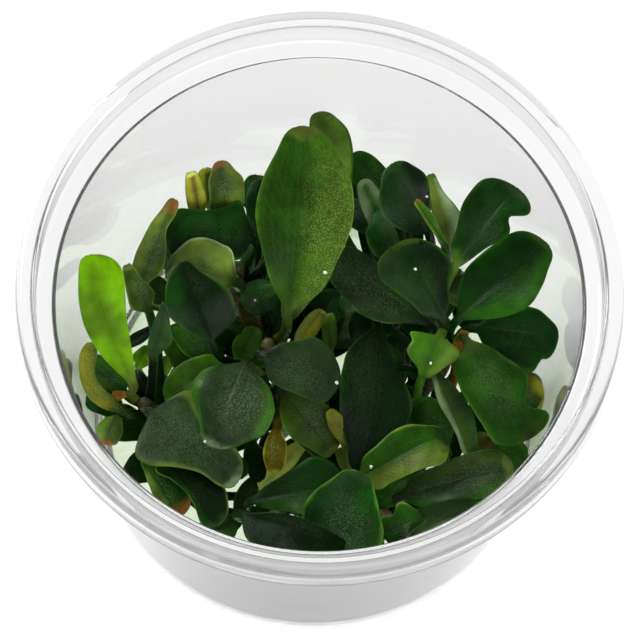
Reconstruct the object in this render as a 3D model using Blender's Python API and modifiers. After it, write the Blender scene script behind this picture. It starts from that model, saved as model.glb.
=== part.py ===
# Bucephalandra cluster growing in a clear culture cup, in metres with +Z up.
# The origin is the middle of the cup's flat underside. Sizes below are in millimetres.
import math

import bpy
import numpy as np
from mathutils import Vector

MM = 0.001

# Cup
CUP_HEIGHT = 68.0
FLANGE_RADIUS = 50.0
MOUTH_RADIUS = 46.5
MOUTH_DEPTH = 6.4
BASE_RADIUS = 37.5
WALL = 0.9
FLOOR = 1.4
LEDGE_RADIUS = 43.3
SKIRT_DROP = 4.6
TURN_STEPS = 36

# Gel that the plants stand in
GEL_TOP = 9.0
TOUCH_GAP = 0.3

# Rhizomes and leaves
STEM_RADIUS = 1.35
STEM_POINTS = 5
RANK_STEP = 1.7
LEAF_THICKNESS = 0.6
PETIOLE_HALF_WIDTH = 0.75
TIP_HALF_WIDTH = 0.4
SMALL_LEAF_WIDTH = 8.0

# Places along a leaf where its solid has a row of points, 0 at the blade's base and 1 at its tip
BLADE_ROWS = (0.0, 0.1, 0.28, 0.5, 0.72, 0.9, 1.0)
SMALL_BLADE_ROWS = (0.0, 0.2, 0.5, 0.8, 1.0)
# Places across a leaf, -1 at its left margin and 1 at its right margin
ACROSS = (-1.0, -0.55, 0.0, 0.55, 1.0)
# Fine steps used to add up a leaf's cross-section
SECTION_STEPS = 20
# Places along a blade where its half widths and the rise of its margins are given
STATIONS = np.array((0.1, 0.3, 0.5, 0.7, 0.9))
# Half widths at those places for a leaf that has none of its own, as shares of half its width
PLAIN_OUTLINE = (0.55, 0.9, 1.0, 0.88, 0.56)

DARK_GREEN = (0.018, 0.055, 0.016)
DEEP_GREEN = (0.012, 0.032, 0.014)
MID_GREEN = (0.045, 0.13, 0.02)
BRIGHT_GREEN = (0.12, 0.32, 0.02)
LIME = (0.24, 0.5, 0.01)
OLIVE = (0.1, 0.13, 0.02)
BROWN = (0.12, 0.07, 0.015)
GREY_GREEN = (0.05, 0.085, 0.045)


def clear_scene():
    for item in list(bpy.data.objects):
        bpy.data.objects.remove(item, do_unlink=True)


def make_collection(name):
    collection = bpy.data.collections.new(name)
    bpy.context.scene.collection.children.link(collection)
    return collection


def make_material(name, color, roughness, transmission=0.0, ior=1.45):
    material = bpy.data.materials.new(name)
    material.use_nodes = True
    shader = material.node_tree.nodes["Principled BSDF"]
    shader.inputs["Base Color"].default_value = (*color, 1.0)
    shader.inputs["Metallic"].default_value = 0.0
    shader.inputs["Roughness"].default_value = roughness
    shader.inputs["Transmission Weight"].default_value = transmission
    shader.inputs["IOR"].default_value = ior
    return material


def add_object(name, data, collection, parent, material):
    item = bpy.data.objects.new(name, data)
    collection.objects.link(item)
    item.parent = parent
    data.materials.append(material)
    return item


def wall_radius(height):
    """Inner radius of the tapered wall at a height above the underside."""
    inner_base = BASE_RADIUS - WALL
    share = height / (CUP_HEIGHT - MOUTH_DEPTH)
    return inner_base + (LEDGE_RADIUS - inner_base) * share


def turned_mesh(name, profile):
    points = [(radius * MM, 0.0, height * MM) for radius, height in profile]
    edges = [(i, i + 1) for i in range(len(points) - 1)]
    mesh = bpy.data.meshes.new(name)
    mesh.from_pydata(points, edges, [])
    return mesh


def add_screw(item):
    turn = item.modifiers.new("turn", "SCREW")
    turn.axis = "Z"
    turn.angle = math.tau
    turn.steps = TURN_STEPS
    turn.render_steps = TURN_STEPS
    turn.use_merge_vertices = True
    turn.merge_threshold = 0.00001
    turn.use_smooth_shade = True


def cup_profile():
    """Radius and height pairs, up the inside, over the rim and down the outside."""
    top = CUP_HEIGHT
    ledge = top - MOUTH_DEPTH
    skirt = top - SKIRT_DROP
    mouth_outer = MOUTH_RADIUS + WALL
    inside = [
        (0.0, FLOOR),
        (wall_radius(FLOOR) - 1.6, FLOOR),
        (wall_radius(FLOOR + 1.6), FLOOR + 1.6),
        (LEDGE_RADIUS, ledge),
        (MOUTH_RADIUS - 0.5, ledge + 0.4),
        (MOUTH_RADIUS, ledge + 1.0),
        (MOUTH_RADIUS, top - 0.5),
    ]
    rim = [
        (MOUTH_RADIUS + 0.3, top),
        (FLANGE_RADIUS - 1.6, top),
        (FLANGE_RADIUS, top - 1.1),
        (FLANGE_RADIUS - 0.1, skirt),
        (FLANGE_RADIUS - WALL, skirt),
        (FLANGE_RADIUS - WALL, top - 1.7),
        (mouth_outer, top - 1.4),
    ]
    outside = [
        (mouth_outer, ledge),
        (mouth_outer - 0.7, ledge - 0.6),
        (LEDGE_RADIUS + WALL, ledge - WALL),
        (BASE_RADIUS + 0.1, 1.8),
        (BASE_RADIUS - 1.4, 0.0),
        (0.0, 0.0),
    ]
    return inside + rim + outside


def add_cup(collection, parent):
    clear = make_material("clear_plastic", (0.96, 0.97, 0.97), 0.08, transmission=1.0, ior=1.49)
    cup = add_object("cup", turned_mesh("cup", cup_profile()), collection, parent, clear)
    add_screw(cup)


def add_gel(collection, parent):
    jelly = make_material("gel", (0.9, 0.94, 0.86), 0.15, transmission=1.0, ior=1.34)
    low = FLOOR + TOUCH_GAP
    profile = [
        (0.0, GEL_TOP),
        (wall_radius(GEL_TOP) - TOUCH_GAP, GEL_TOP),
        (wall_radius(low + 2.0) - TOUCH_GAP - 0.2, low + 2.0),
        (wall_radius(low) - 2.4, low),
        (0.0, low),
    ]
    gel = add_object("gel", turned_mesh("gel", profile), collection, parent, jelly)
    add_screw(gel)


def stem_path(stem, count=STEM_POINTS):
    """Points up a rhizome, upright at its foot on the gel, on a cubic Bezier curve."""
    foot = Vector((*stem["foot"], GEL_TOP + 2 * TOUCH_GAP))
    crown = Vector(stem["crown"])
    rise = Vector((0.0, 0.0, (crown.z - foot.z) * 0.35))
    bow = Vector((*stem["bow"], 0.0))
    places = bezier((foot, foot + rise, crown - rise + bow, crown), np.linspace(0, 1, count))
    return [Vector(place) for place in places]


def add_stem(name, stem, collection, parent, material):
    curve = bpy.data.curves.new("rhizome_" + name, "CURVE")
    curve.dimensions = "3D"
    curve.bevel_depth = STEM_RADIUS * MM
    curve.bevel_resolution = 2
    curve.use_fill_caps = True
    path = stem_path(stem)
    spline = curve.splines.new("POLY")
    spline.points.add(len(path) - 1)
    for point, place in zip(spline.points, path):
        point.co = (*(place * MM), 1.0)
    add_object("rhizome_" + name, curve, collection, parent, material)


def root_on_stem(stem, rank, base):
    """Where a petiole starts, beside the rhizome, on the side that faces the blade's base."""
    path = stem_path(stem, 60)
    drop = 1.0 + rank * RANK_STEP
    place = next(point for point in reversed(path) if path[-1].z - point.z >= drop)
    outward = Vector((base[0] - path[-1].x, base[1] - path[-1].y, 0.0)).normalized()
    return place + outward * (STEM_RADIUS + TOUCH_GAP + LEAF_THICKNESS * 0.7), outward


def bezier(points, t):
    """A cubic Bezier curve through its end points, for a column of parameters t."""
    a, b, c, d = (np.asarray(point, float) for point in points)
    t = np.asarray(t, float)[:, None]
    return a * (1 - t) ** 3 + 3 * b * t * (1 - t) ** 2 + 3 * c * t ** 2 * (1 - t) + d * t ** 3


def unit(vectors):
    vectors = np.asarray(vectors, float)
    return vectors / np.linalg.norm(vectors, axis=-1, keepdims=True)


def round_tip(share):
    """Falls from 1 to 0 along a blade, as the end of a rounded leaf does."""
    return np.sqrt(1 - np.asarray(share) ** 8)


def curve_through(first, values, share):
    """A smooth curve along the blade, from its first value through those at the stations."""
    places = np.array((0.0, *STATIONS, 1.0))
    values = np.array((first, *values, values[-1]))
    slopes = np.gradient(values, places)
    low = np.clip(np.searchsorted(places, share, side="right") - 1, 0, len(places) - 2)
    step = places[low + 1] - places[low]
    t = (share - places[low]) / step
    start = values[low] * (1 + 2 * t) * (1 - t) ** 2 + slopes[low] * step * t * (1 - t) ** 2
    end = values[low + 1] * t * t * (3 - 2 * t) + slopes[low + 1] * step * t * t * (t - 1)
    return start + end


def half_widths(leaf, side, inside):
    """Half width of one side of a blade, with a bite out of it if the leaf has one there."""
    given = np.array(leaf[side] or PLAIN_OUTLINE)
    if leaf[side] is None:
        given = given * leaf["width"] / 2
    full = curve_through(PETIOLE_HALF_WIDTH, given / round_tip(STATIONS), inside) * round_tip(inside)
    place, length, depth = leaf["bite_" + side]
    bite = 1 - depth * np.exp(-((inside - place) / length) ** 2) * (inside > 0)
    return full * bite + TIP_HALF_WIDTH * inside ** 3


def leaf_surface(leaf, root, outward, petiole_rows, blade_rows, across):
    """Grid of points on a leaf's middle surface.

    The midrib is a Bezier curve from base to tip that stands off its chord by arch and sweep,
    and the petiole is a Bezier curve that runs into it. Across the midrib the section turns by
    fold, then by cup and at the margins by curl, its length is the half width of that side, and
    its margin may rise or sink by some millimetres.
    """
    base = np.array(leaf["base"], float)
    tip = np.array(leaf["tip"], float)
    chord = tip - base
    length = np.linalg.norm(chord)
    along = chord / length
    upward = unit(np.array((0.0, 0.0, 1.0)) - along * along[2])
    level = np.cross(along, upward)
    roll = math.radians(leaf["roll"])
    normal = upward * math.cos(roll) + level * math.sin(roll)
    side = np.cross(along, normal)

    lift = normal * leaf["arch"] * 4 / 3 + side * leaf["sweep"] * 4 / 3
    near = base + along * length / 3 + lift * (1 - leaf["droop"])
    far = tip - along * length / 3 + lift * (1 + leaf["droop"])
    start = unit(near - base)
    reach = np.linalg.norm(base - root)
    out = np.array(outward) * 0.75 + np.array((0.0, 0.0, 0.25))
    petiole = (root, root + out * reach * 0.4, base - start * reach * 0.35, base)

    stalk = np.linspace(0.0, 1.0, petiole_rows + 1)[:-1]
    blade = np.asarray(blade_rows, float)
    middle = np.vstack((bezier(petiole, stalk), bezier((base, near, far, tip), blade)))
    u = np.concatenate((stalk - 1.0, blade))
    tangent = unit(np.gradient(middle, axis=0))
    ends = unit((petiole[1] - petiole[0], tip - far))
    tangent[0] = ends[0]
    tangent[-1] = ends[1]

    turn = np.radians(leaf["twist"]) * np.clip(u, 0.0, 1.0)
    right = unit(side - tangent * (tangent @ side)[:, None])
    face = np.cross(right, tangent)
    right, face = (right * np.cos(turn)[:, None] - face * np.sin(turn)[:, None],
                   face * np.cos(turn)[:, None] + right * np.sin(turn)[:, None])

    inside = np.clip(u, 0.0, 1.0)
    blend = np.sin(math.pi * (0.06 + 0.9 * inside)) ** 0.5 * (u >= 0)

    steps = np.linspace(0.0, 1.0, SECTION_STEPS + 1)
    middles = (steps[1:] + steps[:-1]) / 2
    sides = {}
    for name in ("left", "right"):
        margin = np.clip((middles - 0.5) / 0.5, 0.0, 1.0) ** 2
        angle = np.radians(leaf["fold"] + leaf["cup"] * middles + leaf["curl_" + name] * margin)
        angle = angle[None, :] * blend[:, None]
        run = np.hstack((np.zeros((len(u), 1)), np.cumsum(np.cos(angle), axis=1))) / SECTION_STEPS
        rise = np.hstack((np.zeros((len(u), 1)), np.cumsum(np.sin(angle), axis=1))) / SECTION_STEPS
        breadth = half_widths(leaf, name, inside)[:, None]
        wave = curve_through(0.0, leaf["raise_" + name], inside)
        sides[name] = (run * breadth, rise * breadth, wave)

    columns = []
    for v in across:
        run, rise, wave = sides["left" if v < 0 else "right"]
        pick = round(abs(v) * SECTION_STEPS)
        lateral = math.copysign(1.0, v) * run[:, pick]
        height = rise[:, pick] + wave * v * v
        columns.append(middle + right * lateral[:, None] + face * height[:, None])
    return np.stack(columns, axis=1)


def grid_mesh(name, grid):
    rows, columns = grid.shape[:2]
    corner = np.arange(rows * columns).reshape(rows, columns)
    quads = np.stack((corner[:-1, :-1], corner[:-1, 1:], corner[1:, 1:], corner[1:, :-1]), -1)
    mesh = bpy.data.meshes.new(name)
    mesh.from_pydata((grid.reshape(-1, 3) * MM).tolist(), [], quads.reshape(-1, 4).tolist())
    mesh.shade_smooth()
    return mesh


LEAF_DEFAULTS = {
    "arch": 1.2, "sweep": 0.0, "droop": 0.0, "roll": 0.0, "twist": 0.0,
    "fold": 6.0, "cup": 0.0, "curl_left": 0.0, "curl_right": 0.0, "left": None, "right": None,
    "raise_left": (0, 0, 0, 0, 0), "raise_right": (0, 0, 0, 0, 0),
    "bite_left": (0.5, 0.1, 0.0), "bite_right": (0.5, 0.1, 0.0),
}


def add_leaf(name, stem, rank, color, collection, parent, **shape):
    leaf = {**LEAF_DEFAULTS, **shape}
    root, outward = root_on_stem(STEMS[stem], rank, leaf["base"])
    breadth = max(leaf["left"]) + max(leaf["right"]) if leaf["left"] else leaf["width"]
    small = breadth < SMALL_LEAF_WIDTH
    rows = SMALL_BLADE_ROWS if small else BLADE_ROWS
    grid = leaf_surface(leaf, np.array(root), outward, 2, rows, ACROSS)
    finish = make_material(name, color, 0.35)
    item = add_object(name, grid_mesh(name, grid), collection, parent, finish)
    shell = item.modifiers.new("thickness", "SOLIDIFY")
    shell.thickness = LEAF_THICKNESS * MM
    shell.offset = 0.0


# Each rhizome: its foot on the gel, its crown, where the leaves leave it, and its bow
STEMS = {
    "left": {"foot": (-21.0, -10.0), "crown": (-28.5, -11.0, 37.5), "bow": (1.0, 2.5)},
    "centre": {"foot": (-5.0, -5.0), "crown": (-8.5, 0.0, 41.0), "bow": (2.5, -1.0)},
    "right": {"foot": (15.0, -2.0), "crown": (21.5, 0.3, 39.3), "bow": (-1.0, -2.5)},
    "back_right": {"foot": (10.0, 10.0), "crown": (16.0, 14.5, 41.0), "bow": (1.0, -2.0)},
    "back_left": {"foot": (-10.0, 8.0), "crown": (-14.0, 15.0, 37.5), "bow": (-2.0, -1.0)},
    "front_left": {"foot": (-5.0, -18.0), "crown": (-5.8, -26.3, 33.0), "bow": (2.0, 0.0)},
    "front_right": {"foot": (8.0, -17.0), "crown": (12.5, -26.5, 33.0), "bow": (2.0, 1.0)},
}


def add_leaves(collection, parent):
    def leaf(name, stem, rank, color, **shape):
        add_leaf("leaf_" + name, stem, rank, color, collection, parent, **shape)

    # Centre
    leaf("centre_tall", "centre", 0, MID_GREEN, base=(-5, 2.5, 50), tip=(-4.5, 31.5, 60),
         left=(3.1, 5.8, 7.5, 6.5, 3.5), right=(4.2, 7.0, 8.8, 8.1, 4.7), arch=1.5, sweep=0.8, fold=8)
    leaf("middle_grey", "centre", 1, GREY_GREEN, base=(-8.5, -5, 48), tip=(4, -8.5, 45),
         left=(2.2, 4.0, 5.8, 5.0, 2.9), right=(3.4, 4.6, 4.8, 4.7, 3.8), arch=1.5, fold=4, cup=-12)
    leaf("middle_round", "centre", 3, OLIVE, base=(-12, -6.2, 46), tip=(-16.5, -20.5, 44.5),
         left=(4.5, 7.4, 8.1, 7.5, 4.2), right=(4.4, 6.6, 6.6, 4.6, 2.2), arch=2.5, fold=2, cup=-20,
         curl_right=-20)
    leaf("left_dark_pointed", "centre", 2, DEEP_GREEN, base=(-17.5, -3.2, 48.5), tip=(-23.5, 8.5, 53.5),
         left=(2.0, 4.2, 5.4, 4.5, 2.6), right=(4.2, 5.7, 5.5, 3.4, 1.6), arch=1.0)
    leaf("middle_left_bright", "centre", 5, BRIGHT_GREEN, base=(-15, -4.5, 40), tip=(-25, -9.5, 37),
         left=(1.5, 2.5, 3.0, 2.4, 1.2), right=(2.4, 3.4, 3.7, 3.1, 1.8))
    leaf("middle_speckled", "centre", 4, MID_GREEN, base=(-5, -9, 40), tip=(3.5, -17, 34.5),
         left=(2.0, 3.4, 4.2, 3.3, 2.7), right=(2.4, 4.1, 4.0, 2.8, 1.6), arch=1.5)
    leaf("left_inner_small", "centre", 6, MID_GREEN, base=(-18, -2.5, 36), tip=(-24, 2.5, 38), width=4.5)
    leaf("old_brown", "centre", 8, BROWN, base=(-6, -12.5, 33), tip=(-6, -19, 29), width=4, arch=0.6)
    leaf("middle_back", "centre", 7, DARK_GREEN, base=(-9.2, 7, 36), tip=(-11.3, 12, 38), width=6.7)

    # Back left
    leaf("left_rolled_margin", "back_left", 0, BRIGHT_GREEN, base=(-14.5, 8.5, 46), tip=(-26, 10, 46),
         left=(2.0, 3.2, 4.0, 3.4, 2.2), right=(4.2, 6.0, 6.4, 5.4, 3.0), curl_right=80)
    leaf("back_left_dark", "back_left", 1, DARK_GREEN, base=(-12.5, 18, 42), tip=(-26.5, 17, 46),
         left=(3.5, 4.4, 4.8, 4.8, 4.4), right=(5.4, 5.0, 3.8, 3.7, 3.4), roll=-8)
    leaf("back_left_yellow", "back_left", 2, OLIVE, base=(-21.3, 22.0, 41), tip=(-22.7, 26.5, 49.6),
         left=(1.2, 1.6, 1.7, 1.6, 1.0), right=(1.2, 1.5, 1.6, 1.4, 0.9))
    leaf("back_left_olive", "back_left", 4, OLIVE, base=(-16.7, 23.2, 41), tip=(-18, 28.4, 50.4),
         left=(2.4, 2.8, 2.6, 2.4, 1.3), right=(2.6, 3.2, 3.4, 3.2, 1.6))
    leaf("back_dark", "back_left", 3, DARK_GREEN, base=(-8.8, 18.2, 39.7), tip=(-11.3, 28.7, 42.7),
         width=6.6)
    leaf("left_upright", "back_left", 5, OLIVE, base=(-30, 8, 42), tip=(-25, 19.5, 54),
         left=(2.2, 2.7, 2.5, 2.1, 1.0), right=(1.0, 2.6, 1.8, 0.6, 0.9))

    # Back right
    leaf("young_spike", "back_right", 0, BRIGHT_GREEN, base=(20.3, 14.6, 52), tip=(15, 19.2, 60), width=2,
         arch=0.5, fold=40)
    leaf("back_right_glossy", "back_right", 1, DARK_GREEN, base=(17.5, 17.8, 50), tip=(11, 27, 57),
         left=(2.5, 5.0, 6.2, 5.5, 3.0), right=(1.5, 2.0, 3.0, 3.5, 2.2), arch=1.5)
    leaf("back_right_outer", "back_right", 2, DARK_GREEN, base=(21.3, 17.3, 46), tip=(17.4, 27.5, 52),
         left=(1.0, 1.6, 1.6, 1.3, 0.9), right=(2.0, 3.2, 2.5, 1.3, 0.6))
    leaf("back_right_mid", "back_right", 4, DARK_GREEN, base=(11, 18.5, 42), tip=(6, 27, 49), width=4.7)
    leaf("back_right_small", "back_right", 3, DARK_GREEN, base=(12.5, 15.5, 46), tip=(9, 21.5, 49),
         left=(3.2, 4.1, 4.2, 3.6, 1.4), right=(0.9, 1.1, 1.0, 0.6, 0.5))
    leaf("back_right_low", "back_right", 5, MID_GREEN, base=(11.5, 26, 42), tip=(4, 33, 45.5),
         left=(1.8, 2.8, 3.3, 3.2, 2.2), right=(1.8, 2.6, 2.7, 2.4, 1.6))
    leaf("back_tall", "back_right", 6, MID_GREEN, base=(1.5, 25.5, 46), tip=(-2, 38.5, 50),
         left=(2.5, 3.5, 3.5, 3.0, 1.8), right=(2.5, 3.5, 3.9, 3.6, 2.1), sweep=0.5)

    # Right
    leaf("right_inner", "right", 0, DARK_GREEN, base=(20.5, 2.5, 50.5), tip=(13, 14, 54.5),
         left=(2.6, 3.8, 5.1, 6.3, 5.0), right=(2.0, 3.5, 5.3, 4.9, 3.1))
    leaf("right_upper", "right", 1, DARK_GREEN, base=(23.5, 3.3, 49), tip=(37.5, 16.5, 51),
         left=(2.8, 5.2, 5.6, 5.2, 4.1), right=(2.6, 5.4, 6.7, 5.3, 2.8))
    leaf("right_hooked", "right", 3, DARK_GREEN, base=(22.5, 11, 53.5), tip=(31.5, 23.5, 58),
         left=(2.4, 3.6, 4.9, 5.2, 4.4), right=(1.4, 2.6, 4.1, 4.7, 4.3), bite_right=(0.71, 0.09, 0.5))
    leaf("right_lobed", "right", 2, BRIGHT_GREEN, base=(20.3, -0.8, 50), tip=(18, -6.5, 45.5),
         left=(3.6, 4.1, 3.0, 2.0, 0.9), right=(4.2, 3.9, 4.0, 2.7, 0.9))
    leaf("middle_right", "right", 4, GREY_GREEN, base=(18.5, 3, 46), tip=(1, 13, 47),
         left=(1.6, 4.6, 5.8, 4.5, 2.6), right=(1.5, 3.0, 3.6, 3.8, 3.4))
    leaf("right_bitten", "right", 6, DARK_GREEN, base=(26.8, 3.8, 43), tip=(40.3, 2.8, 42),
         left=(2.5, 3.8, 4.6, 4.4, 2.5), right=(3.0, 4.8, 6.2, 6.6, 3.3), roll=8,
         bite_right=(0.82, 0.05, 0.2))
    leaf("right_large", "right", 5, MID_GREEN, base=(25.2, 0, 46), tip=(36.8, -15.3, 44),
         left=(2.2, 3.4, 4.7, 4.6, 4.4), right=(4.0, 6.0, 6.3, 6.4, 5.6), bite_left=(0.74, 0.12, 0.62))
    leaf("right_twisted", "right", 7, DEEP_GREEN, base=(20.2, -4.8, 42), tip=(27, -17.5, 37),
         left=(1.5, 2.5, 3.0, 2.6, 1.5), right=(1.2, 1.6, 1.2, 0.8, 1.0), twist=40)
    leaf("middle_black", "right", 8, DEEP_GREEN, base=(10, 3, 43), tip=(8, -20.5, 36.5),
         left=(1.5, 3.4, 6.0, 5.2, 2.2), right=(4.2, 6.2, 6.2, 5.2, 2.4), sweep=-1.5)
    leaf("right_golden", "right", 9, OLIVE, base=(32, -4, 37), tip=(38.5, -6.3, 36), width=7.2)

    # Left
    leaf("left_lime", "left", 0, LIME, base=(-30.5, -10, 46), tip=(-38.5, 7, 58),
         left=(1.5, 3.0, 3.7, 3.3, 2.0), right=(1.5, 2.7, 3.5, 4.4, 4.2), sweep=-0.9)
    leaf("left_narrow", "left", 1, DEEP_GREEN, base=(-27.2, -5, 42), tip=(-25.5, 2.5, 50),
         left=(1.0, 1.4, 1.3, 1.0, 0.5), right=(0.6, 1.8, 2.6, 1.6, 0.6))
    leaf("front_left_large", "left", 2, GREY_GREEN, base=(-27, -13.5, 40), tip=(-12.1, -24.5, 38),
         left=(6.0, 5.2, 4.2, 4.2, 3.4), right=(6.2, 7.8, 5.2, 2.8, 2.0), arch=1.6)
    leaf("left_outer", "left", 4, MID_GREEN, base=(-32, -9, 37), tip=(-39, -4, 38),
         left=(2.0, 2.6, 2.8, 2.2, 1.2), right=(2.2, 2.8, 3.0, 2.6, 1.4))
    leaf("left_curled", "left", 3, LIME, base=(-32.5, -13, 40), tip=(-37.5, -3.5, 45),
         left=(1.3, 1.6, 1.5, 1.4, 1.2), right=(1.3, 1.6, 1.5, 1.4, 1.2), sweep=-3, cup=-60)
    leaf("left_olive", "left", 5, OLIVE, base=(-28.5, 3.5, 43.5), tip=(-32.5, 9.5, 48.5),
         left=(2.0, 2.9, 2.5, 1.8, 1.0), right=(0.9, 1.9, 1.6, 0.8, 0.5))
    leaf("front_left_dark", "left", 6, DEEP_GREEN, base=(-24.5, -19.5, 36), tip=(-15, -31.5, 36),
         left=(1.2, 2.6, 4.2, 4.7, 3.2), right=(2.8, 1.6, 0.9, 1.1, 1.6))
    leaf("front_left_red_tip", "left", 7, MID_GREEN, base=(-27, -21, 33), tip=(-21.5, -29, 32),
         left=(1.5, 2.7, 3.5, 3.6, 2.6), right=(1.2, 1.6, 1.9, 1.2, 0.9))
    leaf("left_old_tip", "left", 8, OLIVE, base=(-33, -11.5, 33), tip=(-34.5, -16, 30), width=4.3)

    # Front
    leaf("front_rim", "front_left", 0, DEEP_GREEN, base=(-10.5, -31.5, 43), tip=(6.5, -37, 46),
         left=(0.8, 1.5, 2.0, 1.6, 0.9), right=(3.6, 5.2, 5.0, 4.2, 2.8))
    leaf("front_teal", "front_left", 1, DARK_GREEN, base=(-9, -27.2, 38), tip=(6, -24, 38.5),
         left=(1.5, 2.8, 4.3, 5.3, 3.8), right=(1.8, 3.0, 4.4, 4.6, 3.4))
    leaf("front_left_low", "front_left", 3, MID_GREEN, base=(-12, -29, 33.5), tip=(-18, -35, 34.5), width=6)
    leaf("deep_yellow", "front_left", 4, LIME, base=(-8.5, -20.5, 24), tip=(-1.5, -12.5, 26), width=3.7)
    leaf("front_upright", "front_right", 0, MID_GREEN, base=(4.5, -37, 36), tip=(8, -23.5, 45),
         left=(3.5, 6.0, 7.0, 5.8, 3.0), right=(4.5, 7.0, 7.0, 5.2, 3.0))
    leaf("front_khaki", "front_right", 1, BRIGHT_GREEN, base=(8.6, -22.2, 38), tip=(22.1, -15.7, 44),
         left=(2.3, 3.3, 4.2, 3.8, 2.0), right=(3.1, 3.5, 3.9, 4.1, 4.0))
    leaf("front_small_light", "front_right", 2, BRIGHT_GREEN, base=(13, -31.5, 36.5), tip=(19.5, -29, 39.5),
         left=(2.5, 2.6, 3.5, 3.3, 1.4), right=(2.8, 3.4, 2.8, 1.5, 0.6), bite_left=(0.42, 0.1, 0.25))
    leaf("front_right_speckled", "front_right", 3, GREY_GREEN, base=(16, -24.5, 37), tip=(34, -20, 40),
         left=(2.6, 3.4, 3.8, 4.1, 3.6), right=(2.5, 3.0, 3.2, 3.9, 2.6))
    leaf("front_right_low", "front_right", 4, DEEP_GREEN, base=(18, -30.3, 34), tip=(28.5, -25.5, 37),
         left=(3.0, 3.6, 3.8, 3.4, 2.4), right=(2.5, 3.0, 3.2, 2.6, 1.6))
    leaf("right_low", "front_right", 5, DARK_GREEN, base=(30.5, -17, 35), tip=(36.3, -15.5, 36), width=6)


def build():
    clear_scene()
    collection = make_collection("bucephalandra_cup")
    base = bpy.data.objects.new("base_centre", None)
    collection.objects.link(base)
    add_cup(collection, base)
    add_gel(collection, base)
    bark = make_material("rhizome", (0.09, 0.1, 0.03), 0.5)
    for name, stem in STEMS.items():
        add_stem(name, stem, collection, base, bark)
    add_leaves(collection, base)


build()
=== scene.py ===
import math

import bpy
import numpy as np
from mathutils import Matrix, Vector, bvhtree


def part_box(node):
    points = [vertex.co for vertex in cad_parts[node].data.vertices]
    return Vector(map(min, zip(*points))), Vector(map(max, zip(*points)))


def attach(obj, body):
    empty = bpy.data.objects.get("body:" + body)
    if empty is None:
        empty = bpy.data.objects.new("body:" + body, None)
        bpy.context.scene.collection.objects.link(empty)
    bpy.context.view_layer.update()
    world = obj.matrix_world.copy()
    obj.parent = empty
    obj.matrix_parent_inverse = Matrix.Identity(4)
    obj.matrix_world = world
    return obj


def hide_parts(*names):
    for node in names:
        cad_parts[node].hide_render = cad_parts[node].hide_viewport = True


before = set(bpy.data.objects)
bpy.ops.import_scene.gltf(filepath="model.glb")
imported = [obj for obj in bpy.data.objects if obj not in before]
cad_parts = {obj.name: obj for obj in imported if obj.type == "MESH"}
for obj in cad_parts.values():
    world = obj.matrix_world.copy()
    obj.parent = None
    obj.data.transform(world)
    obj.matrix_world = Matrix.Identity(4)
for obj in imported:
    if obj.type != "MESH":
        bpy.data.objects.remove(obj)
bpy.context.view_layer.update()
mm = 0.001
cupHigh = np.array(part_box("cup")[1]) / mm
gelLow, gelHigh = (np.array(corner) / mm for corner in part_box("gel"))


def fromPicture(red, green, blue):
    # a colour as it looks on a screen, 0 to 255, made linear for a shader
    share = np.array((red, green, blue), float) / 255
    linear = np.where(share <= 0.04045, share / 12.92, ((share + 0.055) / 1.055) ** 2.4)
    return (*linear.tolist(), 1.0)


def unit(vectors):
    vectors = np.asarray(vectors, float)
    return vectors / np.linalg.norm(vectors, axis=-1, keepdims=True)


def smooth(low, high, value):
    # an S curve that rises from 0 at low to 1 at high
    share = np.clip((value - low) / (high - low), 0.0, 1.0)
    return share * share * (3 - 2 * share)


def ringSkin(rings):
    # Closed skin over a grid of rings: each ring joins the next, and both end rings close on a pole.
    rows, count = rings.shape[:2]
    corner = np.arange(rows * count).reshape(rows, count)
    beside = np.roll(corner, -1, axis=1)
    quads = np.stack((corner[:-1], beside[:-1], beside[1:], corner[1:]), -1).reshape(-1, 4)
    poles = np.stack((rings[0].mean(0), rings[-1].mean(0)))
    points = np.vstack((rings.reshape(-1, 3), poles))
    first = np.stack((np.full(count, rows * count), beside[0], corner[0]), -1)
    last = np.stack((np.full(count, rows * count + 1), corner[-1], beside[-1]), -1)
    a, b, c, d = (points[quads[:, side]] for side in range(4))
    volume = np.einsum("ij,ij->", a, np.cross(b, c)) + np.einsum("ij,ij->", a, np.cross(c, d))
    if volume < 0:  # inside out
        quads, first, last = quads[:, ::-1], first[:, ::-1], last[:, ::-1]
    return points, [*quads.tolist(), *first.tolist(), *last.tolist()]


def joinSkins(skins):
    points, faces, start = [], [], 0
    for skin in skins:
        points.append(skin[0])
        faces.extend([[index + start for index in face] for face in skin[1]])
        start += len(skin[0])
    return np.vstack(points), faces


def makePiece(name, skins, material, nodes=(), values=None):
    # One piece from one or many closed skins, placed by its mesh, riding on the only body.
    points, faces = joinSkins(skins)
    mesh = bpy.data.meshes.new(name)
    mesh.from_pydata((points * mm).tolist(), [], faces)
    for title, numbers in (values or {}).items():
        mesh.attributes.new(title, "FLOAT", "POINT").data.foreach_set("value", numbers.astype(np.float32))
    mesh.shade_smooth()
    mesh.materials.append(material)
    piece = bpy.data.objects.new(name, mesh)
    bpy.context.scene.collection.objects.link(piece)
    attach(piece, "root")
    if nodes:
        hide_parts(*nodes)


def bezier(points, share):
    # cubic Bezier curve through its end points
    a, b, c, d = (np.asarray(point, float) for point in points)
    t = np.asarray(share, float)[:, None]
    return a * (1 - t) ** 3 + 3 * b * t * (1 - t) ** 2 + 3 * c * t ** 2 * (1 - t) + d * t ** 3


def tubeRings(path, radii, around):
    # Rings carried along a path: each stands square to the path, and its frame never spins.
    tangent = unit(np.gradient(path, axis=0))
    side = unit(np.cross(tangent, (0.37, 0.61, 0.7)))
    other = np.cross(tangent, side)
    angle = np.linspace(0, math.tau, around, endpoint=False)
    wheel = side[:, None] * np.cos(angle)[:, None] + other[:, None] * np.sin(angle)[:, None]
    radii = np.asarray(radii, float)
    return path[:, None] + wheel * (radii if radii.ndim == 2 else radii[:, None])[..., None]


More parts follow.
